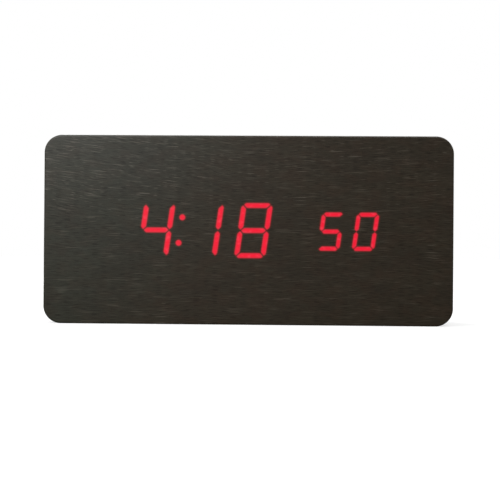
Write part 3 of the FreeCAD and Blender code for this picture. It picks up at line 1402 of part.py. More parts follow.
def make_leads():
    """Red lead from the pack's positive tag and black lead from its negative tag to the key board."""
    start = f"{TAG_END} - lead_end_gap"
    end = f"{KEY_FRONT} - lead_end_gap"
    end_x = "(bay_x {side} (" + BAY_HALF_LENGTH + " - contact_gap - contact_thickness / 2))"
    right = end_x.format(side="+")
    left = end_x.format(side="-")
    pad = "(key_board_x - key_board_length / 2 + lead_pad_inset)"
    low = f"{LEAD_LEVEL} - lead_sag"
    red = [
        (right, start, "cell_pitch"),
        (right, LEAD_LEVEL, "cell_pitch"),
        (f"({right} + {pad}) / 2", low, "cell_pitch - lead_sag"),
        (pad, LEAD_LEVEL, "lead_pad_z"),
        (pad, end, "lead_pad_z"),
    ]
    black = [
        (left, start, "-cell_pitch"),
        (left, LEAD_LEVEL, "-cell_pitch"),
        (f"{left} + cell_pitch", low, "-cell_pitch - lead_sag"),
        (f"{left} + 2.5 * cell_pitch", low, "-cell_pitch"),
        (f"{right} - cell_pitch / 2", low, "-0.8 * cell_pitch"),
        (pad, LEAD_LEVEL, "-lead_pad_z"),
        (pad, end, "-lead_pad_z"),
    ]
    return [make_lead("battery_lead_red", red), make_lead("battery_lead_black", black)]


def make_all():
    """Every piece of the clock, each a node of its own."""
    pieces = [make_wood_foil(), make_front_board(), make_case_frame(), make_rear_cover()]
    pieces.append(make_screws("cover_screws", "0", SCREW_SEAT, "0", f"2 * {POST_X}", f"2 * {POST_Z}",
                              "cover_screw", "cover_screw_length", "+"))
    pieces += [make_battery_door(), make_battery_door_latch(), make_display_board()]
    pieces.append(make_screws("display_board_screws", "display_board_x", PCB_BACK, "0",
                              "display_screw_span_x", "display_screw_span_z",
                              "board_screw", "board_screw_length", "+"))
    pieces += make_display("clock", CLOCK_DIGITS)
    pieces += make_display("seconds", SECONDS_DIGITS)
    pieces += [make_clock_chip(), make_clock_crystal(), make_backup_cell_holder(), make_backup_cell()]
    pieces += [make_segment_resistors(), make_digit_transistors(), make_smoothing_capacitor()]
    pieces.append(make_connector("display_connector", "display_connector_x", PCB_BACK, "back"))
    pieces.append(make_connector("key_board_connector", "key_connector_x", KEY_FRONT, "front"))
    pieces += [make_ribbon_cable(), make_key_board()]
    pieces.append(make_screws("key_board_screws", "key_board_x", KEY_FRONT, "0",
                              "key_post_span_x", "key_post_span_z",
                              "board_screw", "board_screw_length", "-"))
    pieces += make_keys()
    pieces += make_sound_switch()
    pieces += make_dc_jack()
    pieces += [make_buzzer(), make_microphone(), make_thermistor()]
    pieces += make_battery_cells()
    pieces += make_contacts()
    pieces += make_leads()
    return pieces


def check(pieces):
    """Stop if any object failed or any piece has no valid solid."""
    doc.recompute()
    for item in doc.Objects:
        if "Invalid" in item.State or "Error" in item.State:
            raise RuntimeError(f"{item.Name} failed: {item.State}")
    for piece in pieces:
        shape = piece.Shape
        if shape.isNull() or not shape.isValid() or not shape.Solids:
            raise RuntimeError(f"{piece.Label} has no valid solid")


def export(pieces):
    """Write each piece to its own file."""
    os.makedirs("parts", exist_ok=True)
    for piece in pieces:
        piece.Shape.exportStep(f"parts/{piece.Label}.step")
    print(f"{len(pieces)} pieces")


fill_sheet()
all_pieces = make_all()
check(all_pieces)
export(all_pieces)
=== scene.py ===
"""The looks of a small alarm clock in a dark wood-grain case, made round its packed model.

The file is laid out as an add-on: the settings hold the sizes and colours that a user would
change, one operator makes each group of pieces, one makes the stage, and a panel in the sidebar
lists them. The clock looks along -Y and stands on Z = 0. Shapes are worked out in millimetres,
as x and z from the face's middle and the depth behind it, and go into the meshes in metres.
"""

import math
from collections import namedtuple
from functools import cached_property

import bmesh
import bpy
import numpy as np
from bpy.props import (
    FloatProperty,
    FloatVectorProperty,
    IntProperty,
    PointerProperty,
    StringProperty,
)
from bpy.types import Operator, Panel, PropertyGroup
from mathutils import Matrix, Vector


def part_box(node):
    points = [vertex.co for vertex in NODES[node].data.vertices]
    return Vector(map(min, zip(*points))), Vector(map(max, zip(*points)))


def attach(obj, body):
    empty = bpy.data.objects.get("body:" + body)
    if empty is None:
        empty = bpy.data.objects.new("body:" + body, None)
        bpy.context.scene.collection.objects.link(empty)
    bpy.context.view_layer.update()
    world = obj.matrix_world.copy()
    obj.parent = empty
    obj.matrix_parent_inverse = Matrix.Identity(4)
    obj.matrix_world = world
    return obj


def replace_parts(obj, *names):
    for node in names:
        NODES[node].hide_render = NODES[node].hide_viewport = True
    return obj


bl_info = {
    "name": "Wood Grain Alarm Clock",
    "version": (1, 0, 0),
    "blender": (4, 5, 0),
    "location": "View3D > Sidebar > Clock",
    "description": "Finishes and detail pieces for a digital clock in a wood-grain case",
    "category": "Object",
}

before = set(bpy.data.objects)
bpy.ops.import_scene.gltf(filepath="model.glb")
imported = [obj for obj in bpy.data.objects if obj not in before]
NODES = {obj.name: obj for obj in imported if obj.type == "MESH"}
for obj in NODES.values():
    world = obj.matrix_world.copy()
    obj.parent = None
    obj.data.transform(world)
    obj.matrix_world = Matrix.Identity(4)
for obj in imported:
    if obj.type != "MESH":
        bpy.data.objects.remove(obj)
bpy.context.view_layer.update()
MM = 0.001


def box_of(node):
    """A CAD node's lowest and highest corners in millimetres."""
    return [[c / MM for c in corner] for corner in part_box(node)]


(LEFT_X, FRONT_Y, LOW_Z), (RIGHT_X, BACK_Y, HIGH_Z) = box_of("wood_foil")
HALF_WIDTH = (RIGHT_X - LEFT_X) / 2
HALF_HEIGHT = (HIGH_Z - LOW_Z) / 2
CASE_DEPTH = BACK_Y - FRONT_Y
MIDDLE_Z = (HIGH_Z + LOW_Z) / 2

PAINT_DEPTH = 42.3  # from which the frame's rim is painted
PLATE_DEPTH = 43.0  # of the rear cover's back face
KEY_BOARD_DEPTH = 31.6  # of the key board's front
CELL_DEPTH = 35.7  # of the battery cells' axes
CELL_PITCH = 11.0
DOOR_X = -34.0  # of the battery door's middle
PIN_WIDTH = 0.5  # of the displays' square pins
MARK_ROOT = 0.12  # how far a mark reaches into the plate
FAR = 9.0  # a distance from a bar at which its light doesn't show


# --- Settings -------------------------------------------------------------------------------


def tone(name, description, default):
    """A setting for a colour."""
    return FloatVectorProperty(
        name=name, description=description, default=default, min=0, max=1, subtype="COLOR", size=3
    )


def millimetres(name, description, default):
    """A setting for a length in millimetres."""
    text = description + ", in millimetres"
    return FloatProperty(name=name, description=text, default=default, min=0)


def level(name, description, default, **limits):
    """A setting for a share or a brightness."""
    return FloatProperty(
        name=name, description=description, default=default, min=0, subtype="FACTOR", **limits
    )


def power(name, description, default):
    """A setting for a lamp's power."""
    return FloatProperty(
        name=name, description=description, default=default, min=0, unit="POWER"
    )


class ClockStageSettings(PropertyGroup):
    """Camera, lamps and floor."""

    camera_place: FloatVectorProperty(
        name="Camera place",
        description="Where the camera stands",
        default=(0.01717, -0.52029, 0.02457),
        subtype="TRANSLATION",
        unit="LENGTH",
    )
    camera_turn: FloatVectorProperty(
        name="Camera turn",
        description="Pitch, roll and yaw away from a level look along +Y",
        default=tuple(math.radians(a) for a in (0.325, -0.434, 1.873)),
        subtype="EULER",
        unit="ROTATION",
    )
    lens: FloatProperty(
        name="Focal length",
        description="Of the camera, on its 36 mm sensor",
        default=98.1,
        unit="CAMERA",
    )
    room_light: level("Room light", "Level of the soft light from all round", 0.58)
    front_dimness: level("Room in front", "How bright the room in front looks in gloss", 0.02)
    back_brightness: level("Room behind", "How bright the room behind looks in gloss", 0.75)
    window_power: power("Window lamp", "At the upper left, gives the front its sheen", 0.70)
    top_power: power("Top lamp", "Large lamp above and in front", 10.0)
    back_power: power("Back lamp", "Large lamp above and behind", 12.0)
    floor_tone: tone("Floor tone", "Colour of the pale floor", (0.36, 0.36, 0.36))


class ClockFoilSettings(PropertyGroup):
    """Wood-grain foil round the case."""

    corner_radius: millimetres("Corner radius", "Of the case, seen from the front", 6.5)
    edge_radius: millimetres("Edge radius", "Between the front and the sides", 0.6)
    thickness: millimetres("Foil thickness", "From its outside to its inside", 0.3)
    wood: tone("Wood", "Middle tone of the dark wood", (0.0238, 0.0165, 0.0074))
    wood_dark: tone("Dark grain", "Dark streaks and pores", (0.0146, 0.0104, 0.0054))
    wood_light: tone("Light grain", "Lighter fibres", (0.0338, 0.0250, 0.0134))
    wood_pale: tone("Pale flecks", "Short pale flecks", (0.1500, 0.1250, 0.0860))
    roughness: level("Roughness", "Of the foil's satin face", 0.45, max=1)


class ClockDigitSettings(PropertyGroup):
    """Lit bars that shine through the foil."""

    clock_digits: StringProperty(
        name="Clock bars",
        description="Lit bars of each large digit, from the left, with commas between digits",
        default=",bcfg,bc,abcdefg",
    )
    seconds_digits: StringProperty(
        name="Seconds bars", description="Lit bars of each small digit", default="acdfg,abcdef"
    )
    slant: FloatProperty(
        name="Slant", description="Lean of the digits", default=math.radians(8.0), unit="ROTATION"
    )
    bar_gap: millimetres("Gap", "Between neighbouring bars", 0.36)
    corner_cut: millimetres("Corner cut", "Cut off each outer corner of a digit", 0.28)
    tip_radius: millimetres("Tip radius", "Rounding of each bar's corners", 0.13)
    colour: tone("Lit red", "Light of the bars", (0.925, 0.0020, 0.0290))
    hot_colour: tone("Bright red", "Brighter spots in the bars", (1.0, 0.030, 0.065))
    halo: tone("Halo", "Faint light in the foil next to a bar", (0.075, 0.0005, 0.0015))
    softness: millimetres("Edge softness", "Width over which a bar's light ends", 0.45)


class ClockBackSettings(PropertyGroup):
    """Black plastic parts and the marks at the back."""

    plastic: tone("Cover plastic", "Cover, door and inlet", (0.0095, 0.0095, 0.0100))
    button: tone("Button plastic", "Buttons and the switch's knob", (0.0150, 0.0150, 0.0155))
    ink: tone("Marks", "Words and arrows", (0.300, 0.300, 0.295))
    mark_height: millimetres("Mark height", "How far a mark stands out of the cover", 0.10)
    letter_size: millimetres("Letter size", "Of the words", 2.5)


class ClockInsideSettings(PropertyGroup):
    """Boards, cells and wiring."""

    board: tone("Board", "Solder mask of the circuit boards", (0.012, 0.085, 0.035))
    sleeve: tone("Cell sleeve", "Main colour of the battery cells", (0.030, 0.055, 0.150))
    lead_radius: millimetres("Lead radius", "Of the two battery leads' sheaths", 0.65)
    ribbon_cores: IntProperty(
        name="Ribbon cores", description="Wires side by side in the ribbon", default=10, min=2
    )


# --- Materials ------------------------------------------------------------------------------


class Value:
    """One output of a node. Sums and products of values are written as such."""

    def __init__(self, nodes, node, output=0):
        self.nodes, self.node, self.socket = nodes, node, node.outputs[output]

    def __getitem__(self, output):
        """Another output of the same node, by number or name."""
        return Value(self.nodes, self.node, output)

    def __add__(self, other):
        return self.nodes.math("ADD", self, other)

    def __mul__(self, other):
        return self.nodes.math("MULTIPLY", self, other)

    def __sub__(self, other):
        return self.nodes.math("SUBTRACT", self, other)

    def __rsub__(self, other):
        return self.nodes.math("SUBTRACT", other, self)

    def __abs__(self):
        return self.nodes.math("ABSOLUTE", self)

    __radd__, __rmul__ = __add__, __mul__


class Nodes:
    """Adds nodes to a tree. Each method adds one or a few and gives the last one's output, so a
    pattern is written as a short sum of calls, with lengths in millimetres."""

    def __init__(self, tree):
        self.tree = tree

    def feed(self, socket, given):
        """Gives a socket a number, a colour or a value."""
        if isinstance(given, Value):
            self.tree.links.new(given.socket, socket)
        elif socket.type == "RGBA":
            socket.default_value = (*tuple(given)[:3], 1.0)
        else:
            socket.default_value = given

    def add(self, kind, feeds=(), **options):
        """A new node with its options set and its inputs fed, by number or name."""
        node = self.tree.nodes.new("ShaderNode" + kind)
        for name, given in options.items():
            setattr(node, name, given)
        for socket, given in dict(feeds).items():
            self.feed(node.inputs[socket], given)
        return Value(self, node)

    @cached_property
    def place(self):
        """Object coordinates in millimetres."""
        feeds = {0: self.add("TexCoord")["Object"], 3: 1 / MM}
        return self.add("VectorMath", feeds, operation="SCALE")

    def facing(self, axis):
        """How far the surface looks along an axis of the object, 0 to 1."""
        return abs(self.parts(self.add("TexCoord")["Normal"])[axis])

    def attribute(self, name):
        return self.add("Attribute", attribute_name=name)["Vector"]

    def parts(self, vector):
        return self.add("SeparateXYZ", {0: vector})

    def joined(self, x, y):
        return self.add("CombineXYZ", {0: x, 1: y, 2: 0.0})

    def stretched(self, size, place=None, turn=(0, 0, 0), shift=(0, 0, 0)):
        """Coordinates in which size, one length or one for each axis, is the unit."""
        sizes = size if isinstance(size, tuple) else (size,) * 3
        feeds = {"Vector": place or self.place, "Location": shift, "Rotation": turn}
        return self.add("Mapping", {**feeds, "Scale": [1 / s for s in sizes]})

    def noise(self, size, place=None, detail=2.0, rough=0.5, bend=0.0, **mapping):
        """Cloudy pattern around 0.5, with features of about that size."""
        feeds = {"Vector": self.stretched(size, place, **mapping), "Scale": 1.0}
        feeds |= {"Detail": detail, "Roughness": rough, "Distortion": bend}
        return self.add("TexNoise", feeds)

    def cells(self, size, place=None, **mapping):
        """Distance to the middle of cells of about that size."""
        feeds = {"Vector": self.stretched(size, place, **mapping), "Scale": 1.0}
        return self.add("TexVoronoi", feeds)

    def math(self, operation, a, b=0.0, c=0.0):
        return self.add("Math", {0: a, 1: b, 2: c}, operation=operation)

    def remap(self, given, low, high, to_low=0.0, to_high=1.0):
        """Goes softly from to_low to to_high while given goes from low to high."""
        feeds = {0: given, 1: low, 2: high, 3: to_low, 4: to_high}
        return self.add("MapRange", feeds, interpolation_type="SMOOTHSTEP")

    def swing(self, cloud, low=0.0, high=1.0):
        """Goes from low to high over a noise's usual range."""
        return self.remap(cloud, 0.3, 0.7, low, high)

    def blend(self, share, a, b, kind="MIX"):
        """Colour a at share 0 and colour b at share 1."""
        return self.add("Mix", {0: share, 6: a, 7: b}, data_type="RGBA", blend_type=kind)[2]

    def tinted(self, colour, tint):
        return self.blend(1.0, colour, tint, "MULTIPLY")

    def shade(self, colour, level):
        """A colour made darker or lighter by a level around 1."""
        return self.tinted(colour, self.add("CombineColor", {0: level, 1: level, 2: level}))

    def soft_edge(self, radius):
        """Normal that rounds the edges of a CAD piece off."""
        return self.add("Bevel", {"Radius": radius * MM}, samples=6)

    def bump(self, height, depth, edge=None):
        """Bumps of that depth where height goes from 0 to 1, and edges rounded to a radius."""
        feeds = {"Height": height, "Distance": depth * MM, "Strength": 1.0}
        if edge:
            feeds["Normal"] = self.soft_edge(edge)
        return self.add("Bump", feeds)

    def edges(self, radius):
        """1 along the piece's edges and 0 on its faces, from how far a rounded normal turns."""
        both = {0: self.soft_edge(radius), 1: self.add("NewGeometry")["Normal"]}
        dot = self.add("VectorMath", both, operation="DOT_PRODUCT")["Value"]
        return self.remap(dot, 0.995, 0.86)


class Finish(Nodes):
    """One procedural material and its shader."""

    def __init__(self, name, **sockets):
        plain = bpy.data.materials.get(name)
        if plain:  # the packed model's own material of that name gives way
            bpy.data.materials.remove(plain)
        self.material = bpy.data.materials.new(name)
        self.material.use_nodes = True
        super().__init__(self.material.node_tree)
        self.set(**sockets)

    def set(self, **sockets):
        """Gives the shader's sockets, named with underscores, numbers, colours or values."""
        shader = self.tree.nodes["Principled BSDF"]
        for name, given in sockets.items():
            title = name.replace("_", " ").title().replace("Ior", "IOR")
            self.feed(shader.inputs[title], given)
        return self


def dress(finish, *names):
    """Gives a finish to CAD nodes by name."""
    for name in names:
        slots = NODES[name].data.materials
        slots.clear()
        slots.append(finish.material)


def wood_finish(foil, digits):
    """Dark wood print. Lines and flecks are thin cells stretched along the grain, of which only
    some are filled; flecks crowd at the upper left. The lit bars show where the signed distance
    to a bar is below 0."""
    f = Finish("dark_wood_grain")
    place = f.attribute("foil_place")
    u, v, _ = f.parts(place)
    waves = (f.noise((60, 25, 1), place, 1.0) - 0.5) * 4.0
    ripples = (f.noise((14, 5, 1), place, 2.0) - 0.5) * 0.9
    lean = f.math("MINIMUM", u + 5.0, 0.0) * 0.10 * f.remap(v, -8.0, 18.0)
    grain = f.joined(u, v + waves + ripples + lean)
    fibres = f.noise((3.2, 0.22, 1), grain, 3.0, 0.72)
    bands = f.noise((70.0, 3.0, 1), grain, 2.0, 0.55, shift=(2, 9, 0))
    clouds = f.noise((24.0, 10.0, 1), place, 2.0, shift=(4, 1, 0))
    dust = f.noise((0.46, 0.26, 1), place, 2.0, 0.75, shift=(6, 4, 0))
    mask = f.remap(f.noise((9.0, 1.6, 1), grain, 1.0, shift=(1, 5, 0)), 0.42, 0.66)
    lines = f.remap(f.noise((9.0, 0.21, 1), grain, 0.0, shift=(7, 3, 0)), 0.61, 0.70) * mask
    dark = f.remap(f.noise((3.4, 0.24, 1), grain, 0.0, shift=(3, 6, 0)), 0.56, 0.70)
    patches = f.remap(f.noise((13.0, 6.0, 1), place, 1.0, shift=(8, 2, 0)), 0.40, 0.62)
    crowd = f.remap(u, 15.0, -62.0) * f.remap(v, 0.0, 18.0) * patches
    density = 0.014 + crowd * 0.38 + f.remap(v, 2.0, 26.0) * 0.10
    flecks = grain_dashes(f, grain, (9.5, 0.22, 1), density, (3, 8, 0))
    ticks = grain_dashes(f, grain, (3.4, 0.20, 1), density * 1.4, (9, 5, 0))
    flecks = f.math("MAXIMUM", flecks, ticks * 0.7)

    tone = f.blend(f.remap(fibres, 0.30, 0.72), foil.wood_dark, foil.wood_light)
    tone = f.blend(f.swing(bands, 0.36, 0.62), tone, foil.wood)
    tone = f.shade(tone, 0.46 + f.swing(clouds) * 0.16 + dust)
    green = f.remap(u - v * 0.5, 0.0, -58.0) * f.remap(clouds, 0.35, 0.65, 0.8, 1.0)
    warm = f.remap(f.noise((7.0, 4.5, 1), place, 1.0, shift=(5, 2, 0)), 0.42, 0.66)
    for share, tint in ((green, (0.87, 1.24, 1.50)), (warm, (1.09, 0.96, 0.92))):
        tone = f.blend(share, tone, f.tinted(tone, tint))
    tone = f.blend(dark * 0.36, tone, (0.004, 0.003, 0.002))
    tone = f.blend(lines * 0.22, tone, foil.wood_pale)
    tone = f.blend(flecks * 0.66, tone, foil.wood_pale)

    near = f.parts(f.attribute("lit_bars"))
    distance = f.math("MINIMUM", f.math("MINIMUM", near[0], near[1]), near[2])
    lit = f.remap(distance, digits.softness / 2, -digits.softness / 2)
    glow = f.remap(distance, 0.9, 0.0)
    spots = f.remap(f.noise((2.2, 1.8, 1), place, 1.0, shift=(5, 6, 0)), 0.50, 0.78)
    rim = f.remap(distance, -0.65, -0.20) * 0.42
    hot = spots * (0.85 + fibres * 0.25) + rim
    light = f.blend(hot, digits.colour, digits.hot_colour)
    light = f.shade(light, f.remap(distance, 0.0, -0.85, 0.72, 1.0))
    gloss = f.remap(fibres, 0.30, 0.72, 0.41, 0.47) + lines * 0.14 + flecks * 0.60 - dark * 0.09
    return f.set(
        base_color=f.blend(lit, tone, (0.02, 0.004, 0.004)),
        roughness=foil.roughness - 0.05 + fibres * 0.10 + flecks * 0.05,
        specular_ior_level=gloss,
        emission_color=f.blend(lit, f.shade(digits.halo, glow * glow), light),
        emission_strength=1.0,
        normal=f.bump(fibres * 0.3 + lines * 0.3 - dark * 0.3, 0.010),
    )


def grain_dashes(f, grain, size, share, shift):
    """Thin dashes, one in some of the cells of a pattern stretched to size: a cell is filled if
    its random number is under share, and a dash fades from the cell's middle outwards."""
    cell = f.cells(size, grain, shift=shift)
    random = f.parts(cell["Color"])
    filled = f.remap(share - random[0], 0.0, 0.02)
    return f.remap(cell, 0.36, 0.08) * filled * (0.35 + random[1] * 0.65)


def moulded_finish(name, colour, roughness=0.52, grain=0.42, depth=0.045, edge=0.16, wear=0.35):
    """Spark-textured plastic: fine pebbled grain with painted shade in its pits and painted glints
    on fine specks, cloudy gloss, and slightly polished edges.
    """
    f = Finish(name)
    pebble = f.cells(grain)
    fine = f.noise(grain * 0.45, detail=3.0, rough=0.6)
    cloud = f.noise(9.0)
    worn = f.edges(edge * 1.6) * f.remap(f.noise(3.0), 0.35, 0.65, 0.3, 1.0)
    specks = f.remap(fine, 0.36, 0.66)
    # painted shade and glints: the colour is darker in the pits at the pebbles' middles and
    # lighter on the fine raised specks
    tone = f.shade(colour, 0.55 + specks * 0.46 + pebble * 0.30 + cloud * 0.24)
    pale = [min(1.0, c * 2.2 + 0.012) for c in colour]
    return f.set(
        base_color=f.blend(worn * wear, tone, pale),
        roughness=roughness - 0.14 + cloud * 0.18 + pebble * 0.20 - worn * 0.10,
        # painted shade in the gloss as well: weaker reflection in the pits, stronger on the specks
        specular_ior_level=0.20 + specks * 0.26 + pebble * 0.22 + cloud * 0.14,
        normal=f.bump(pebble * 0.7 + fine * 0.3, depth, edge),
    )


def fibreboard_finish(foil):
    """Pressed wood fibre, painted dark on the rim that shows at the back."""
    f = Finish("fibreboard")
    fluff = f.noise(0.8, detail=4.0, rough=0.7, bend=0.6)
    chips = f.noise((1.6, 0.5, 1.1), rough=0.6, turn=(0.3, 0.5, 0.2))
    tone = f.blend(f.swing(fluff), (0.17, 0.105, 0.055), (0.36, 0.25, 0.15))
    tone = f.blend(f.remap(chips, 0.55, 0.72) * 0.6, tone, (0.10, 0.055, 0.028))
    tone = f.shade(tone, f.swing(f.noise(12.0), 0.88, 1.10))
    border = FRONT_Y + PAINT_DEPTH + (f.noise(1.6) - 0.5) * 1.2
    painted = f.remap(f.parts(f.place)[1] - border, -0.2, 0.2)
    paint = f.shade(foil.wood, f.swing(fluff, 0.6, 1.15))
    return f.set(
        base_color=f.blend(painted, tone, paint),
        roughness=f.remap(painted, 0, 1, 0.86, 0.62),
        normal=f.bump(fluff + chips * 0.5, 0.07, 0.12),
    )


def metal_finish(name, colour, roughness, brush, dull):
    """Metal with fine scratches along the long way of brush, cloudy tarnish and small dark spots.
    """
    f = Finish(name, metallic=1.0)
    scratch = f.noise(brush, detail=3.0, rough=0.65)
    cloud = f.noise(2.4, detail=3.0, rough=0.6)
    pits = f.remap(f.noise(0.5, detail=1.0, shift=(4, 4, 4)), 0.62, 0.74)
    tone = f.blend(f.remap(cloud, 0.40, 0.72), colour, [c * (1 - dull) for c in colour])
    tone = f.blend(pits * 0.5, tone, [c * 0.45 for c in colour])
    return f.set(
        base_color=f.shade(tone, f.swing(scratch, 0.86, 1.08)),
        roughness=roughness - 0.08 + scratch * 0.10 + f.remap(cloud, 0.4, 0.7) * 0.12,
        normal=f.bump(scratch, 0.006, 0.06),
    )


def board_finish(inside):
    """Circuit board: green mask over copper tracks that run in steps, pale glass fibre edges."""
    f = Finish("circuit_board")
    x, _, z = f.parts(f.place)
    block = [f.math("FLOOR", f.math("DIVIDE", way, size)) for way, size in ((x, 9.0), (z, 6.5))]
    choice = f.add("TexWhiteNoise", {"Vector": f.joined(*block)})["Value"]
    level = f.math("GREATER_THAN", choice, 0.5)
    run = x * level + z * (1.0 - level)
    track = f.remap(f.math("PINGPONG", run + choice * 3.0, 0.8), 0.42, 0.50)
    track = track * f.remap(f.noise(5.0, detail=0.0), 0.45, 0.49)
    vias = f.remap(f.cells((5.5, 900.0, 5.5)), 0.085, 0.065)
    weave = f.noise((0.5, 3.0, 0.5))
    green = tuple(inside.board)
    tone = f.blend(track * 0.7, green, [c * 1.9 + 0.01 for c in green])
    tone = f.shade(tone, f.swing(weave, 0.88, 1.10))
    tone = f.blend(vias, tone, (0.55, 0.52, 0.46))
    side = f.remap(f.facing(1), 0.75, 0.55)
    glass = f.blend(f.noise((0.6, 0.15, 0.6)), (0.20, 0.19, 0.09), (0.42, 0.40, 0.24))
    return f.set(
        base_color=f.blend(side, tone, glass),
        roughness=0.24 + weave * 0.16 + side * 0.35,
        normal=f.bump(track + weave * 0.25 - vias * 0.6, 0.035),
    )


def cell_finish(inside):
    """Battery cell along X: dark blue sleeve, pale band at its plus end, steel at both ends. The
    middle cell lies the other way round."""
    f = Finish("cell_sleeve")
    x, y, z = f.parts(f.place)
    low = MIDDLE_Z - CELL_PITCH / 2
    up = f.math("WRAP", z, low + CELL_PITCH, low) - MIDDLE_Z
    out = y - (FRONT_Y + CELL_DEPTH)
    radius = f.math("SQRT", up * up + out * out)
    outer = f.math("GREATER_THAN", abs(z - MIDDLE_Z), CELL_PITCH / 2)
    boxes = (box_of(name) for name in ("battery_cell_1", "battery_cell_2"))
    outer_x, inner_x = ((first[0] + last[0]) / 2 for first, last in boxes)
    along = (x - (inner_x + outer * (outer_x - inner_x))) * (outer * 2.0 - 1.0)
    # along is 0 at a cell's middle and grows towards its plus end, 22.25 mm away
    band = f.remap(along, 10.4, 10.6)
    line = f.remap(along, 9.2, 9.3) * f.remap(along, 9.8, 9.7)
    film = f.noise((4.0, 1.5, 1.5))
    scuffs = f.remap(f.noise((2.5, 0.35, 0.35), detail=3.0, rough=0.7), 0.62, 0.74)
    tone = f.blend(band, inside.sleeve, (0.46, 0.47, 0.47))
    tone = f.blend(line, tone, (0.62, 0.62, 0.60))
    tone = f.shade(tone, f.swing(film, 0.9, 1.1))
    tone = f.blend(scuffs * 0.25, tone, (0.30, 0.31, 0.33))
    steel = f.remap(f.facing(0), 0.25, 0.55) * f.remap(radius, 4.55, 4.45)
    nub = f.remap(abs(along), 21.3, 21.5) * f.remap(radius, 3.6, 3.4)
    bare = f.math("MAXIMUM", steel, nub)
    return f.set(
        base_color=f.blend(bare, tone, (0.60, 0.60, 0.59)),
        metallic=bare,
        roughness=0.26 + scuffs * 0.25 + film * 0.10,
        normal=f.bump(film + scuffs * 0.4, 0.02, 0.15),
    )


def coated_finish(name, colour, roughness, size, depth=0.012, spread=0.14):
    """Soft plastic or resin skin with a faint uneven flow and a dusting of fine specks."""
    f = Finish(name)
    flow = f.noise(size, detail=3.0, rough=0.55, bend=0.4)
    specks = f.remap(f.noise(size * 0.18, detail=1.0), 0.60, 0.74)
    tone = f.shade(colour, f.swing(flow, 1 - spread, 1 + spread))
    return f.set(
        base_color=f.blend(specks * 0.20, tone, [min(1.0, c * 1.6 + 0.02) for c in colour]),
        roughness=roughness - 0.06 + flow * 0.12 + specks * 0.10,
        normal=f.bump(flow + specks * 0.3, depth, 0.10),
    )


def glowing_finish(name, colour, strength):
    """Milky light guide of a bar, brighter where a chip sits behind it."""
    f = Finish(name, subsurface_weight=0.15)
    milk = f.noise(0.9, detail=3.0)
    if strength:
        spots = f.remap(f.cells(3.2), 0.42, 0.10)
        light = f.blend(spots * 0.6, colour, (1.0, 0.10, 0.08))
        f.set(emission_color=light, emission_strength=strength)
    return f.set(
        base_color=f.shade(colour, f.swing(milk, 0.85, 1.12)),
        roughness=0.30 + milk * 0.16,
        normal=f.bump(milk, 0.01),
    )


def resistor_finish():
    """Black body with tinned ends, one every 4 mm along X."""
    f = Finish("resistor_ceramic")
    x, _, z = f.parts(f.place)
    low, high = box_of("segment_resistors")
    tin = f.remap(f.math("PINGPONG", x - (low[0] + 1.0), 2.0), 0.60, 0.66)
    up = abs(z - (low[2] + high[2]) / 2)
    grit = f.noise(0.15)
    body = f.shade((0.022, 0.022, 0.024), f.swing(grit, 0.8, 1.25))
    return f.set(
        base_color=f.blend(tin, body, (0.62, 0.61, 0.58)),
        metallic=tin,
        roughness=0.32 + grit * 0.18 + up * 0.02,
        normal=f.bump(grit, 0.008, 0.05),
    )


def capacitor_finish():
    """Black sleeve with a grey stripe down one side and a bare aluminium top."""
    f = Finish("sleeve_black")
    _, y, z = f.parts(f.place)
    low, high = box_of("smoothing_capacitor")
    top = f.remap(y, high[1] - 0.16, high[1] - 0.10)
    middle = (low[2] + high[2]) / 2
    stripe = f.remap(z, middle + 1.65, middle + 1.75)
    film = f.noise((0.8, 2.5, 0.8))
    tone = f.blend(stripe, (0.014, 0.014, 0.016), (0.34, 0.34, 0.35))
    tone = f.shade(tone, f.swing(film, 0.85, 1.15))
    return f.set(
        base_color=f.blend(top, tone, (0.66, 0.66, 0.67)),
        metallic=top,
        roughness=0.28 + film * 0.14,
        normal=f.bump(film, 0.01, 0.12),
    )


def ribbon_finish():
    """Grey ribbon with its first core marked red, one unit of core_place across a core."""
    f = Finish("ribbon_grey")
    place = f.attribute("core_place")
    marked = f.remap(f.parts(place)[0], 1.02, 0.94)
    pulled = f.noise((0.25, 3.0, 1), place)
    specks = f.noise((0.2, 0.2, 1), place, 2.0, 0.6)
    tone = f.blend(marked, (0.30, 0.30, 0.31), (0.42, 0.030, 0.025))
    return f.set(
        base_color=f.shade(tone, f.swing(pulled, 0.9, 1.08) + f.swing(specks, -0.04, 0.04)),
        roughness=0.34 + pulled * 0.16,
        normal=f.bump(pulled, 0.01),
    )


# --- Surfaces -------------------------------------------------------------------------------


def in_frame(x, depth, z):
    """Points of the packed model's frame, from their places by the middle of the face."""
    return np.stack(np.broadcast_arrays(x, FRONT_Y + depth, MIDDLE_Z + z), -1)


def quads(numbers, closed=False):
    """Four-sided faces between neighbouring lines of a grid of point numbers. closed joins the
    last column to the first."""
    if closed:
        numbers = np.hstack([numbers, numbers[:, :1]])
    corners = numbers[:-1, :-1], numbers[1:, :-1], numbers[1:, 1:], numbers[:-1, 1:]
    return np.stack(corners, -1).reshape(-1, 4)


def tube_faces(rings):
    """Faces of a tube whose rings of points have those numbers, with both ends shut."""
    return [*quads(rings, closed=True).tolist(), rings[0].tolist(), rings[-1, ::-1].tolist()]


def linked(name, data):
    """A new object in the scene."""
    made = bpy.data.objects.new(name, data)
    bpy.context.scene.collection.objects.link(made)
    return made


def new_piece(name, points, faces, finish, body, slot, sharp):
    """A mesh from whole arrays of points, in millimetres, and faces, riding on a body."""
    mesh = bpy.data.meshes.new(name)
    mesh.from_pydata((points.reshape(-1, 3) * MM).tolist(), [], faces)
    return finished(mesh, name, finish, body, sharp)


def finished(mesh, name, finish, body, sharp=32.0):
    """A piece from a mesh that is already in place, with edges sharp from that angle on."""
    mesh.validate()
    mesh.shade_smooth()
    mesh.set_sharp_from_angle(angle=math.radians(sharp))
    mesh.materials.clear()
    mesh.materials.append(finish.material)
    piece = linked(name, mesh)
    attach(piece, body)
    return piece


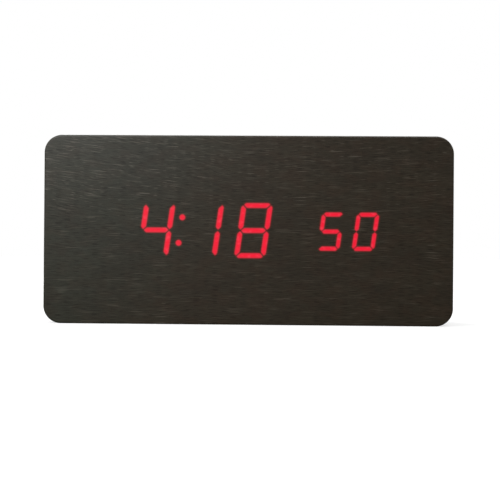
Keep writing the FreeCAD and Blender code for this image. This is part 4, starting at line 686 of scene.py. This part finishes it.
def add_attribute(piece, name, values):
    """Writes one vector for each point of the piece's mesh under that name."""
    layer = piece.data.attributes.new(name, "FLOAT_VECTOR", "POINT")
    layer.data.foreach_set("vector", np.asarray(values, np.float32).ravel())


def spaced(stops, steps):
    """Lines from stop to stop, each stretch divided evenly into steps near the one given."""
    runs = [
        np.linspace(a, b, max(2, round((b - a) / step) + 1))[:-1]
        for a, b, step in zip(stops, stops[1:], steps)
    ]
    return np.concatenate([*runs, stops[-1:]])


def bar_outlines(rise, span, bar, upright, gap, corner_cut):
    """Outlines of the seven bars of an upright digit about its centre. Neighbours are parted by
    a gap along the 45 degree line through the point where their centre lines meet."""
    top, side, half_bar, half_upright = rise / 2, span / 2, bar / 2, upright / 2
    part = gap / math.sqrt(2)
    across, along = (corner_cut - part) / 2, (corner_cut + part) / 2
    end = np.array([
        (-side - corner_cut + half_bar, top + half_bar),
        (-side - across, top + along),
        (-side + part + half_bar, top - half_bar),
    ])
    tip = -side + part
    middle = np.array([(tip + half_bar, half_bar), (tip, 0), (tip + half_bar, -half_bar)])
    left = np.array([
        (-side - half_upright, top + corner_cut - half_upright),
        (-side - along, top + across),
        (-side + half_upright, top - part - half_upright),
        (-side + half_upright, part + half_upright),
        (-side, part),
        (-side - half_upright, part + half_upright),
    ])
    flip_x, flip_z = np.array([-1, 1]), np.array([1, -1])
    upper = np.vstack([end, (end * flip_x)[::-1]])
    return {
        "a": upper,
        "b": left * flip_x,
        "c": left * flip_x * flip_z,
        "d": upper * flip_z,
        "e": left * flip_z,
        "f": left,
        "g": np.vstack([middle, (middle * flip_x)[::-1]]),
    }


def distance_to_bar(points, outline, rounding):
    """Distance of each point to a convex outline, below 0 inside it, with its corners rounded:
    the soft maximum of the distances h to its sides' lines, r log(sum of exp(h / r))."""
    turned = np.roll(outline, -1, 0)
    if (outline[:, 0] * turned[:, 1] - outline[:, 1] * turned[:, 0]).sum() < 0:
        outline = outline[::-1]
    side = np.roll(outline, -1, 0) - outline
    normal = np.stack([side[:, 1], -side[:, 0]], 1) / np.linalg.norm(side, axis=1)[:, None]
    beyond = (points[:, None] - outline) * normal
    share = np.clip(beyond.sum(-1) / rounding, -60, 60)
    return rounding * np.log(np.exp(share).sum(1))


# A display's middle, the rise and span between its bars' centre lines, the widths of its level
# and upright bars, its digits' pitch, its dots' radius and distance from the middle, and its
# share of the set gap, corner cut and rounding.
Display = namedtuple("Display", "setting x z rise span bar upright pitch dot dot_rise share")
DISPLAYS = (
    Display("clock_digits", -24.65, -0.14, 18.32, 9.62, 1.80, 1.85, 17.84, 1.06, 4.68, 1.0),
    Display("seconds_digits", 36.65, -0.32, 12.45, 6.75, 1.54, 1.50, 12.70, 0.0, 0.0, 0.6),
)
BAR_GROUPS = ("adg", "bf", "ce")


def distances_to_bars(points, digits):
    """Distance of each point to the nearest lit bar of three groups: level bars and dots, upper
    uprights, lower uprights. Bars of one group never touch, so each field stays smooth where two
    bars meet, and the gap between them stays sharp."""
    fields = np.full((len(points), len(BAR_GROUPS)), FAR)
    lean = math.tan(digits.slant)
    for d in DISPLAYS:
        gap, cut = digits.bar_gap * d.share, digits.corner_cut * d.share
        outlines = bar_outlines(d.rise, d.span, d.bar, d.upright, gap, cut)
        local = points - (d.x, d.z)
        lettered = getattr(digits, d.setting).split(",")
        for index, letters in enumerate(lettered):
            centre = (index - (len(lettered) - 1) / 2) * d.pitch
            for letter in letters:
                outline = outlines[letter] @ np.array([[1, 0], [lean, 1]]) + (centre, 0)
                group = next(i for i, bars in enumerate(BAR_GROUPS) if letter in bars)
                near = distance_to_bar(local, outline, digits.tip_radius * d.share)
                fields[:, group] = np.minimum(fields[:, group], near)
        for z in (d.dot_rise, -d.dot_rise) if d.dot else ():
            near = np.linalg.norm(local - (z * lean, z), axis=1) - d.dot
            fields[:, 0] = np.minimum(fields[:, 0], near)
    return fields


def foil_surface(foil, digits):
    """The foil as one closed skin. Its face is a grid over a rectangle whose four corner squares
    are pressed into quarter discs: (u, v) goes to (u sqrt(1 - v v / 2), v sqrt(1 - u u / 2)).
    The face's border is then carried along a profile: an arc over the front edge, straight back
    along the sides, in by the foil's thickness and forward again on the inside."""
    radius, edge, wall = foil.corner_radius, foil.edge_radius, foil.thickness
    bend = radius - edge
    flat = np.array([HALF_WIDTH - radius, HALF_HEIGHT - radius])
    steps = np.linspace(0, 1, 13)[1:] * bend
    # the grid's steps are finer where the digits are
    x = spaced([-flat[0], -43.0, 13.0, 22.0, 51.0, flat[0]], [1.2, 0.26, 1.1, 0.26, 1.2])
    z = spaced([-flat[1], -12.0, 12.0, flat[1]], [1.1, 0.26, 1.1])
    x = np.concatenate([-flat[0] - steps[::-1], x, flat[0] + steps])
    z = np.concatenate([-flat[1] - steps[::-1], z, flat[1] + steps])
    square = np.stack(np.meshgrid(x, z), -1)
    core = np.clip(square, -flat, flat)
    out = (square - core) / bend
    face = core + bend * out * np.sqrt(1 - out[..., ::-1] ** 2 / 2)

    index = np.arange(face[..., 0].size).reshape(face.shape[:2])
    loop = np.concatenate([index[0, :-1], index[:-1, -1], index[-1, :0:-1], index[:0:-1, 0]])
    border = face.reshape(-1, 2)[loop]
    outward = border - np.clip(border, -flat, flat)
    normal = outward / np.linalg.norm(outward, axis=1)[:, None]

    turn = np.radians(np.linspace(0, 90, 10))[1:]
    inner, chamfer = edge - wall, 0.06
    # the rings down the sides, closer together near the front and the back
    sides = (1.0, 1.8, *np.linspace(3.5, CASE_DEPTH - 2.0, 14), CASE_DEPTH - 0.6)
    profile = np.vstack([
        np.stack([edge * np.sin(turn), edge - edge * np.cos(turn)], 1),
        [(edge, depth) for depth in (*sides, CASE_DEPTH - chamfer)],
        [(edge - chamfer, CASE_DEPTH), (inner + chamfer, CASE_DEPTH)],
        [(inner, depth) for depth in (CASE_DEPTH - chamfer, CASE_DEPTH / 2, edge)],
        np.stack([inner * np.sin(turn[::-3]), edge - inner * np.cos(turn[::-3])], 1),
        [(0.0, wall)],
    ])
    run = np.cumsum(np.linalg.norm(np.diff(profile, axis=0, prepend=0.0), axis=1))
    rings = border + profile[:, None, :1] * normal
    ring_points = in_frame(rings[..., 0], profile[:, 1:], rings[..., 1])
    face_points = in_frame(face[..., 0], 0.0, face[..., 1])
    points = np.vstack([face_points.reshape(-1, 3), ring_points.reshape(-1, 3)])

    numbers = index.size + np.arange(rings[..., 0].size).reshape(rings.shape[:2])
    bands = quads(np.vstack([loop, numbers]), closed=True)
    faces = [*quads(index.T).tolist(), *bands.tolist(), numbers[-1, ::-1].tolist()]

    unrolled = border + run[:, None, None] * normal
    place = np.zeros((len(points), 3))
    place[:, :2] = np.vstack([face.reshape(-1, 2), unrolled.reshape(-1, 2)])
    lit = np.full((len(points), 3), FAR)
    lit[: index.size] = distances_to_bars(face.reshape(-1, 2), digits)
    return points, faces, place, lit


# Routes of the wires as points (x, depth, z).
RED_ROUTE = ((-9.25, 26.5, 11), (-9.25, 20, 11), (-0.625, 19, 10), (8, 20, 4.5), (8, 31.5, 4.5))
BLACK_ROUTE = (
    (-58.75, 26.5, -11), (-58.75, 20, -11), (-47.75, 19, -12), (-31.25, 19, -11),
    (-14.75, 19, -8.8), (8, 20, -4.5), (8, 31.5, -4.5),
)
RIBBON_ROUTE = ((12, 14.85, 0), (12, 20.775, 0), (28, 20.775, 0), (28, 26.7, 0))
RIBBON_WIDTH = 12.7
RIBBON_THICKNESS = 0.9


def route_curve(name, route):
    """A smooth line that has the route's points as its controls."""
    curve = bpy.data.curves.new(name, "CURVE")
    curve.dimensions = "3D"
    spline = curve.splines.new("NURBS")
    points = in_frame(*np.array(route, float).T) * MM
    spline.points.add(len(points) - 1)
    spline.points.foreach_set("co", np.hstack([points, np.ones((len(points), 1))]).ravel())
    spline.order_u = 3
    spline.use_endpoint_u = True
    spline.resolution_u = 16
    return curve


def lead_piece(name, route, radius, finish):
    """A battery lead: a round sheath along its route's smooth line."""
    curve = route_curve(name, route)
    curve.bevel_depth = radius * MM
    curve.bevel_resolution = 5
    curve.use_fill_caps = True
    curve.materials.append(finish.material)
    piece = linked(name, curve)
    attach(piece, "case")
    return piece


def line_points(route):
    """The points of a route's smooth line, in millimetres."""
    line = bpy.data.objects.new("line", route_curve("line", route))
    mesh = bpy.data.meshes.new_from_object(line)
    points = np.array([v.co for v in mesh.vertices]) / MM
    bpy.data.objects.remove(line)
    bpy.data.meshes.remove(mesh)
    return points


def ribbon_surface(cores):
    """A section carried along the ribbon's line. Across the ribbon its half thickness is a web
    plus a half circle over each core, and the section stands square to the line at each point."""
    line = line_points(RIBBON_ROUTE)
    ahead = np.gradient(line, axis=0)
    ahead /= np.linalg.norm(ahead, axis=1)[:, None]
    up = np.array([0.0, 0.0, 1.0])
    across = np.linspace(0, cores, cores * 8 + 1)
    round_part = np.sqrt(1 - (2 * (across % 1.0) - 1) ** 2)
    half = RIBBON_THICKNESS / 2 * (0.55 + 0.45 * round_part)
    z = (across / cores - 0.5) * RIBBON_WIDTH
    around, z = (np.concatenate([way, way[::-1]]) for way in (across, z))
    out = np.concatenate([half, -half[::-1]])
    points = line[:, None] + out[:, None] * np.cross(ahead, up)[:, None] + z[:, None] * up
    faces = tube_faces(np.arange(points[..., 0].size).reshape(points.shape[:2]))
    run = np.cumsum(np.linalg.norm(np.diff(line, axis=0, prepend=line[:1]), axis=1))
    place = np.stack(np.broadcast_arrays(around, run[:, None], 0.0), -1)
    return points, faces, place


def solder_surface(feet, base, top, height, sides=14):
    """Small solder joints: a hollow-sided cone turned round a line along Y at each foot. Its
    radius falls from base to top as the square of the share of height left, and a low dome
    closes it. Height may be negative for joints that point at the front."""
    share = np.linspace(0, 1, 7)
    dome = np.radians([30.0, 60.0, 86.0])
    radius = np.concatenate([top + (base - top) * (1 - share) ** 2, top * np.cos(dome)])
    rise = np.concatenate([share, 1 + 0.22 * np.sin(dome)]) * height
    angle = np.linspace(0, 2 * math.pi, sides, endpoint=False) * np.sign(height)
    ways = np.outer(radius, np.cos(angle)), rise[:, None], np.outer(radius, np.sin(angle))
    points = np.array(feet)[:, None, None] + np.stack(np.broadcast_arrays(*ways), -1)
    joints = np.arange(points[..., 0].size).reshape(points.shape[:3])
    return in_frame(*np.moveaxis(points, -1, 0)), sum(map(tube_faces, joints), [])


def pin_middles(name, count):
    """Where the pins of a display's two rows stand on the back of its board."""
    low, high = (np.array(corner) - (0, FRONT_Y, MIDDLE_Z) for corner in box_of(name))
    depth = box_of("display_board")[1][1] - FRONT_Y
    return [
        (x, depth, z)
        for z in (low[2] + PIN_WIDTH / 2, high[2] - PIN_WIDTH / 2)
        for x in np.linspace(low[0] + PIN_WIDTH / 2, high[0] - PIN_WIDTH / 2, count)
    ]


def flat_words(words, size):
    """A line of letters in its own plane."""
    curve = bpy.data.curves.new("words", "FONT")
    curve.body = words
    curve.size = size
    curve.align_x = "CENTER"
    curve.align_y = "CENTER"
    curve.space_character = 1.12
    curve.resolution_u = 4
    return curve


def flat_outline(outline):
    """A closed outline in its own plane."""
    curve = bpy.data.curves.new("outline", "CURVE")
    curve.dimensions = "2D"
    curve.fill_mode = "BOTH"
    spline = curve.splines.new("POLY")
    spline.points.add(len(outline) - 1)
    corners = np.zeros((len(outline), 4))
    corners[:, :2], corners[:, 3] = outline, 1.0
    spline.points.foreach_set("co", corners.ravel())
    spline.use_cyclic_u = True
    return curve


def rounded_triangle(width, height, radius, steps=5):
    """A triangle that points up, each corner an arc of the radius between its two sides."""
    corners = np.array([(-width / 2, -height / 2), (width / 2, -height / 2), (0.0, height / 2)])
    ways = np.roll(corners, -1, 0) - corners
    ways /= np.linalg.norm(ways, axis=1)[:, None]
    back = -np.roll(ways, 1, 0)
    half = np.arccos((ways * back).sum(1)) / 2
    middle = ways + back
    middle /= np.linalg.norm(middle, axis=1)[:, None]
    centres = corners + middle * (radius / np.sin(half))[:, None]
    first = np.arctan2(back[:, 0], -back[:, 1])
    sweep = math.pi - 2 * half
    angle = first[:, None] + np.linspace(0, 1, steps) * sweep[:, None]
    arcs = centres[:, None] + radius * np.stack([np.cos(angle), np.sin(angle)], -1)
    return arcs.reshape(-1, 2)


def mark_mesh(curves, height):
    """One mesh from flat curves, each with the place (x, z) of its middle, raised off the back
    plate. Read from behind, a word's own x runs along -X and its up along Z."""
    joined = bmesh.new()
    half, chamfer = (height + MARK_ROOT) / 2, min(0.05, height / 3)
    turn = Matrix(((-MM, 0, 0), (0, 0, MM), (0, MM, 0))).to_4x4()
    for curve, (x, z) in curves:
        curve.extrude = half - chamfer
        curve.bevel_depth = chamfer
        curve.bevel_resolution = 1
        curve.offset = -chamfer
        holder = bpy.data.objects.new("mark", curve)
        mesh = bpy.data.meshes.new_from_object(holder)
        spot = Vector(in_frame(x, PLATE_DEPTH - MARK_ROOT + half, z)) * MM
        mesh.transform(Matrix.Translation(spot) @ turn)
        joined.from_mesh(mesh)
        bpy.data.objects.remove(holder)
        bpy.data.meshes.remove(mesh)
    bmesh.ops.remove_doubles(joined, verts=joined.verts, dist=5e-6)
    bmesh.ops.dissolve_degenerate(joined, edges=joined.edges, dist=5e-6)
    bmesh.ops.recalc_face_normals(joined, faces=joined.faces)
    made = bpy.data.meshes.new("marks")
    joined.to_mesh(made)
    joined.free()
    return made


# --- Operators ------------------------------------------------------------------------------


class ClockOperator:
    """What the clock's operators share."""

    bl_options = {"REGISTER", "UNDO"}


class CLOCK_OT_stage(ClockOperator, Operator):
    """Camera, soft lamps, white room and pale floor"""

    bl_idname = "clock.stage"
    bl_label = "Stage"

    def execute(self, context):
        stage = context.scene.clock_stage
        self.make_camera(context.scene, stage)
        self.make_room(context.scene, stage)
        self.make_floor(stage)
        face, middle = (-0.02, -0.0225, 0.040), (0, 0, 0.03)
        self.add_lamp("window_lamp", (-0.158, -0.317, 0.205), face, 0.10, stage.window_power)
        self.add_lamp("top_lamp", (0.25, -0.45, 1.40), middle, 0.90, stage.top_power)
        self.add_lamp("back_lamp", (-0.45, 0.95, 1.05), middle, 0.90, stage.back_power)
        return {"FINISHED"}

    def make_camera(self, scene, stage):
        camera = linked("camera", bpy.data.cameras.new("camera"))
        pitch, roll, yaw = stage.camera_turn
        turn = (
            Matrix.Rotation(yaw, 3, "Z")
            @ Matrix.Rotation(pitch, 3, "X")
            @ Matrix.Rotation(roll, 3, "Y")
            @ Matrix.Rotation(math.pi / 2, 3, "X")
        )
        camera.matrix_world = Matrix.Translation(stage.camera_place) @ turn.to_4x4()
        camera.data.sensor_width = 36.0
        camera.data.lens = stage.lens
        camera.data.clip_start = 0.01
        scene.camera = camera
        scene.view_settings.view_transform = "Standard"

    def make_room(self, scene, stage):
        """White for the camera. In gloss it is bright behind the clock and dim in front."""
        scene.world = bpy.data.worlds.new("room")
        scene.world.use_nodes = True
        n = Nodes(scene.world.node_tree)
        along = n.parts(n.add("TexCoord")["Generated"])[1]
        seen = n.remap(along, -0.55, 0.35, stage.front_dimness, stage.back_brightness)
        ray = n.add("LightPath")
        gloss = ray["Is Glossy Ray"] + ray["Is Transmission Ray"]
        light = n.add("Mix", {0: gloss, 2: stage.room_light, 3: seen})
        light = n.add("Mix", {0: ray["Is Camera Ray"], 2: light, 3: 1.0})
        background = n.tree.nodes["Background"]
        n.feed(background.inputs["Strength"], light)
        n.feed(background.inputs["Color"], (1, 1, 1))

    def make_floor(self, stage):
        """A wide plain floor, nearly white to the camera, that takes a soft shadow."""
        lines = np.linspace(-30, 30, 9)
        points = np.stack(np.broadcast_arrays(lines, lines[:, None], 0.0), -1).reshape(-1, 3)
        faces = quads(np.arange(lines.size**2).reshape(lines.size, -1))[:, ::-1]
        mesh = bpy.data.meshes.new("floor")
        mesh.from_pydata(points.tolist(), [], faces.tolist())
        f = Finish("floor", roughness=0.9, specular_ior_level=0.0)
        x, y, _ = f.parts(f.add("TexCoord")["Object"])
        away = f.math("SQRT", x * x + y * y)
        ray = f.add("LightPath")
        gloss = ray["Is Glossy Ray"] + ray["Is Transmission Ray"]
        front = gloss * f.remap(y, 0.03, -0.03)
        seen = ray["Is Camera Ray"] * f.remap(away, 0.3, 2.5, 0.66, 0.86)
        f.set(
            base_color=f.blend(front, stage.floor_tone, (0.0, 0.0, 0.0)),
            emission_color=(1.0, 1.0, 1.0),
            emission_strength=seen + (gloss - front) * 0.8,
        )
        mesh.materials.append(f.material)
        linked("floor", mesh)

    def add_lamp(self, name, place, target, size, power):
        lamp = bpy.data.objects.new(name, bpy.data.lights.new(name, "AREA"))
        lamp.data.shape = "DISK"
        lamp.data.size = size
        lamp.data.energy = power
        lamp.location = place
        lamp.rotation_mode = "QUATERNION"
        lamp.rotation_quaternion = (Vector(target) - Vector(place)).to_track_quat("-Z", "Y")
        lamp.visible_camera = False
        bpy.context.scene.collection.objects.link(lamp)


class CLOCK_OT_battery_leads(ClockOperator, Operator):
    """Red and black battery leads, from the end contacts to the key board"""

    bl_idname = "clock.battery_leads"
    bl_label = "Battery Leads"

    def execute(self, context):
        radius = context.scene.clock_inside.lead_radius
        red = coated_finish("lead_red", (0.38, 0.018, 0.014), 0.34, 1.1)
        black = coated_finish("lead_black", (0.016, 0.016, 0.017), 0.36, 1.1)
        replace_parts(lead_piece("red_lead", RED_ROUTE, radius, red), "battery_lead_red")
        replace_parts(lead_piece("black_lead", BLACK_ROUTE, radius, black), "battery_lead_black")
        return {"FINISHED"}


class CLOCK_OT_ribbon(ClockOperator, Operator):
    """Flat ribbon of wires between the two boards"""

    bl_idname = "clock.ribbon"
    bl_label = "Ribbon"

    def execute(self, context):
        points, faces, place = ribbon_surface(context.scene.clock_inside.ribbon_cores)
        finish = ribbon_finish()
        ribbon = new_piece("ribbon", points, faces, finish, "case", "ribbon_grey", 60.0)
        add_attribute(ribbon, "core_place", place)
        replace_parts(ribbon, "ribbon_cable")
        return {"FINISHED"}


class CLOCK_OT_foil(ClockOperator, Operator):
    """Wood-grain foil round the case, with the digits shining through it"""

    bl_idname = "clock.foil"
    bl_label = "Wood Foil"

    def execute(self, context):
        foil, digits = context.scene.clock_foil, context.scene.clock_digits
        points, faces, place, lit = foil_surface(foil, digits)
        finish = wood_finish(foil, digits)
        skin = new_piece("foil_skin", points, faces, finish, "case", "dark_wood_grain", 40.0)
        add_attribute(skin, "foil_place", place)
        add_attribute(skin, "lit_bars", lit)
        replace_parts(skin, "wood_foil")
        return {"FINISHED"}


class CLOCK_OT_marks(ClockOperator, Operator):
    """Pale words and arrows on the back cover and the battery door"""

    bl_idname = "clock.marks"
    bl_label = "Marks"

    def execute(self, context):
        back = context.scene.clock_back
        size, small = back.letter_size, back.letter_size * 0.85
        over_buttons, by_switch = 14.2, -9.5
        up = rounded_triangle(2.3, 2.0, 0.15)
        down = up * (1, -1)
        marks = {  # name: the body that it rides on, and its curves with their middles (x, z)
            "set_mark": ("case", [(flat_words("SET", size), (42.0, over_buttons))]),
            "up_mark": ("case", [(flat_outline(up), (28.0, over_buttons))]),
            "down_mark": ("case", [(flat_outline(down), (14.0, over_buttons))]),
            "sound_marks": ("case", [
                (flat_words("ON", small), (36.4, by_switch)),
                (flat_words("OFF", small), (22.3, by_switch)),
                (flat_words("SOUND", small), (29.5, by_switch - 5.0)),
            ]),
            "power_mark": ("case", [(flat_words("DC", size), (46.5, -14.6))]),
            "door_arrow": ("door", [(flat_outline(down * 1.2), (DOOR_X, 14.0))]),
        }
        finish = coated_finish("mark_ink", tuple(back.ink), 0.55, 0.9, 0.006, 0.10)
        for name, (body, curves) in marks.items():
            finished(mark_mesh(curves, back.mark_height), name, finish, body)
        return {"FINISHED"}


class CLOCK_OT_solder(ClockOperator, Operator):
    """Solder joints on the pins of the displays and at the ends of the battery leads"""

    bl_idname = "clock.solder"
    bl_label = "Solder Joints"

    def execute(self, context):
        finish = metal_finish("solder", (0.62, 0.62, 0.60), 0.24, (0.4, 0.4, 0.4), 0.35)
        pins = pin_middles("clock_digits_pins", 7) + pin_middles("seconds_digits_pins", 5)
        leads = [(x, KEY_BOARD_DEPTH, z) for x, _, z in (RED_ROUTE[-1], BLACK_ROUTE[-1])]
        for name, joints in (
            ("pin_solder", solder_surface(pins, base=0.85, top=0.36, height=1.05)),
            ("lead_solder", solder_surface(leads, base=1.5, top=0.80, height=-1.30, sides=20)),
        ):
            new_piece(name, *joints, finish, "case", "tinned_metal", 50.0)
        return {"FINISHED"}


class CLOCK_OT_case_finishes(ClockOperator, Operator):
    """Fibreboard of the front board and the frame"""

    bl_idname = "clock.case_finishes"
    bl_label = "Case Finishes"

    def execute(self, context):
        dress(fibreboard_finish(context.scene.clock_foil), "front_board", "case_frame")
        return {"FINISHED"}


class CLOCK_OT_plastic_finishes(ClockOperator, Operator):
    """Plastic of the cover, the door, the buttons, the connectors and the displays' cases"""

    bl_idname = "clock.plastic_finishes"
    bl_label = "Plastic Finishes"

    def execute(self, context):
        back = context.scene.clock_back
        cover = moulded_finish("cover_plastic", tuple(back.plastic))
        button = moulded_finish("button_plastic", tuple(back.button), 0.36, 0.6, 0.010, 0.22, 0.5)
        socket = moulded_finish("socket_plastic", (0.56, 0.53, 0.44), 0.42, 0.5, 0.010, 0.10, 0.2)
        display = moulded_finish("display_case", (0.030, 0.030, 0.032), 0.55, 0.5, 0.02, 0.10, 0.3)
        dress(cover, "rear_cover", "battery_door", "battery_door_latch", "dc_jack")
        dress(button, "set_button", "up_button", "down_button", "sound_switch_knob")
        dress(button, "set_plunger", "up_plunger", "down_plunger")
        dress(socket, "backup_cell_holder", "display_connector", "key_board_connector")
        dress(display, "clock_digits_housing", "seconds_digits_housing")
        return {"FINISHED"}


class CLOCK_OT_board_finishes(ClockOperator, Operator):
    """Circuit boards and the parts on them"""

    bl_idname = "clock.board_finishes"
    bl_label = "Board Finishes"

    def execute(self, context):
        resin = coated_finish("chip_resin", (0.017, 0.017, 0.018), 0.55, 0.5, 0.02, 0.20)
        bead = coated_finish("bead_resin", (0.055, 0.030, 0.016), 0.22, 0.8, 0.02, 0.25)
        dress(board_finish(context.scene.clock_inside), "display_board", "key_board")
        dress(resin, "clock_chip", "digit_transistors", "buzzer")
        dress(resin, "set_switch", "up_switch", "down_switch")
        dress(bead, "thermistor")
        dress(resistor_finish(), "segment_resistors")
        dress(capacitor_finish(), "smoothing_capacitor")
        return {"FINISHED"}


class CLOCK_OT_metal_finishes(ClockOperator, Operator):
    """Screws, springs, pins, cans and the back-up cell"""

    bl_idname = "clock.metal_finishes"
    bl_label = "Metal Finishes"

    def execute(self, context):
        steel = metal_finish("screw_steel", (0.40, 0.40, 0.41), 0.34, (0.25, 0.9, 0.9), 0.45)
        nickel = metal_finish("spring_nickel", (0.66, 0.63, 0.57), 0.22, (0.3, 0.3, 0.3), 0.30)
        brass = metal_finish("pin_brass", (0.75, 0.55, 0.24), 0.24, (0.9, 0.2, 0.9), 0.4)
        tin = metal_finish("tinned_metal", (0.68, 0.68, 0.66), 0.28, (0.4, 1.2, 0.4), 0.3)
        can = metal_finish("can_aluminium", (0.70, 0.70, 0.71), 0.32, (2.5, 0.2, 0.4), 0.25)
        coin = metal_finish("coin_steel", (0.62, 0.61, 0.59), 0.26, (3.0, 3.0, 0.12), 0.2)
        dress(steel, "cover_screws", "display_board_screws", "key_board_screws")
        dress(nickel, "positive_contact", "negative_contact")
        dress(nickel, "left_link_contact", "right_link_contact")
        dress(brass, "dc_jack_pin")
        dress(tin, "clock_digits_pins", "seconds_digits_pins")
        dress(can, "clock_crystal", "sound_switch_body", "microphone")
        dress(coin, "backup_cell")
        return {"FINISHED"}


class CLOCK_OT_cell_finishes(ClockOperator, Operator):
    """Sleeves and ends of the three battery cells"""

    bl_idname = "clock.cell_finishes"
    bl_label = "Cell Finishes"

    def execute(self, context):
        finish = cell_finish(context.scene.clock_inside)
        dress(finish, "battery_cell_1", "battery_cell_2", "battery_cell_3")
        return {"FINISHED"}


class CLOCK_OT_display_finishes(ClockOperator, Operator):
    """Light guides of the lit and unlit bars"""

    bl_idname = "clock.display_finishes"
    bl_label = "Display Finishes"

    def execute(self, context):
        lit = glowing_finish("lit_red", (0.85, 0.02, 0.02), 1.0)
        unlit = glowing_finish("unlit_red", (0.16, 0.030, 0.028), 0.0)
        dress(lit, "clock_lit_segments", "seconds_lit_segments")
        dress(unlit, "clock_unlit_segments", "seconds_unlit_segments")
        return {"FINISHED"}


# --- Panel and registration -----------------------------------------------------------------

OPERATORS = ClockOperator.__subclasses__()  # in the order of this file
SETTINGS = {
    "clock_stage": ClockStageSettings,
    "clock_foil": ClockFoilSettings,
    "clock_digits": ClockDigitSettings,
    "clock_back": ClockBackSettings,
    "clock_inside": ClockInsideSettings,
}


class CLOCK_PT_pieces(Panel):
    """Lists the clock's pieces and their settings"""

    bl_idname = "CLOCK_PT_pieces"
    bl_label = "Wood Grain Alarm Clock"
    bl_space_type = "VIEW_3D"
    bl_region_type = "UI"
    bl_category = "Clock"

    def draw(self, context):
        for operator in OPERATORS:
            self.layout.operator(operator.bl_idname, text=operator.bl_label)
        for name, group in SETTINGS.items():
            box = self.layout.box()
            box.label(text=group.__doc__)
            for setting in group.__annotations__:
                box.prop(getattr(context.scene, name), setting)


CLASSES = (*SETTINGS.values(), *OPERATORS, CLOCK_PT_pieces)


def register():
    for item in CLASSES:
        bpy.utils.register_class(item)
    for name, group in SETTINGS.items():
        setattr(bpy.types.Scene, name, PointerProperty(type=group))


def unregister():
    for name in SETTINGS:
        delattr(bpy.types.Scene, name)
    for item in reversed(CLASSES):
        bpy.utils.unregister_class(item)


def main():
    """Makes everything in order."""
    register()
    for operator in OPERATORS:
        group, name = operator.bl_idname.split(".")
        if getattr(getattr(bpy.ops, group), name)() != {"FINISHED"}:
            raise RuntimeError(f"{operator.bl_label} was not finished")


if __name__ == "__main__":
    main()
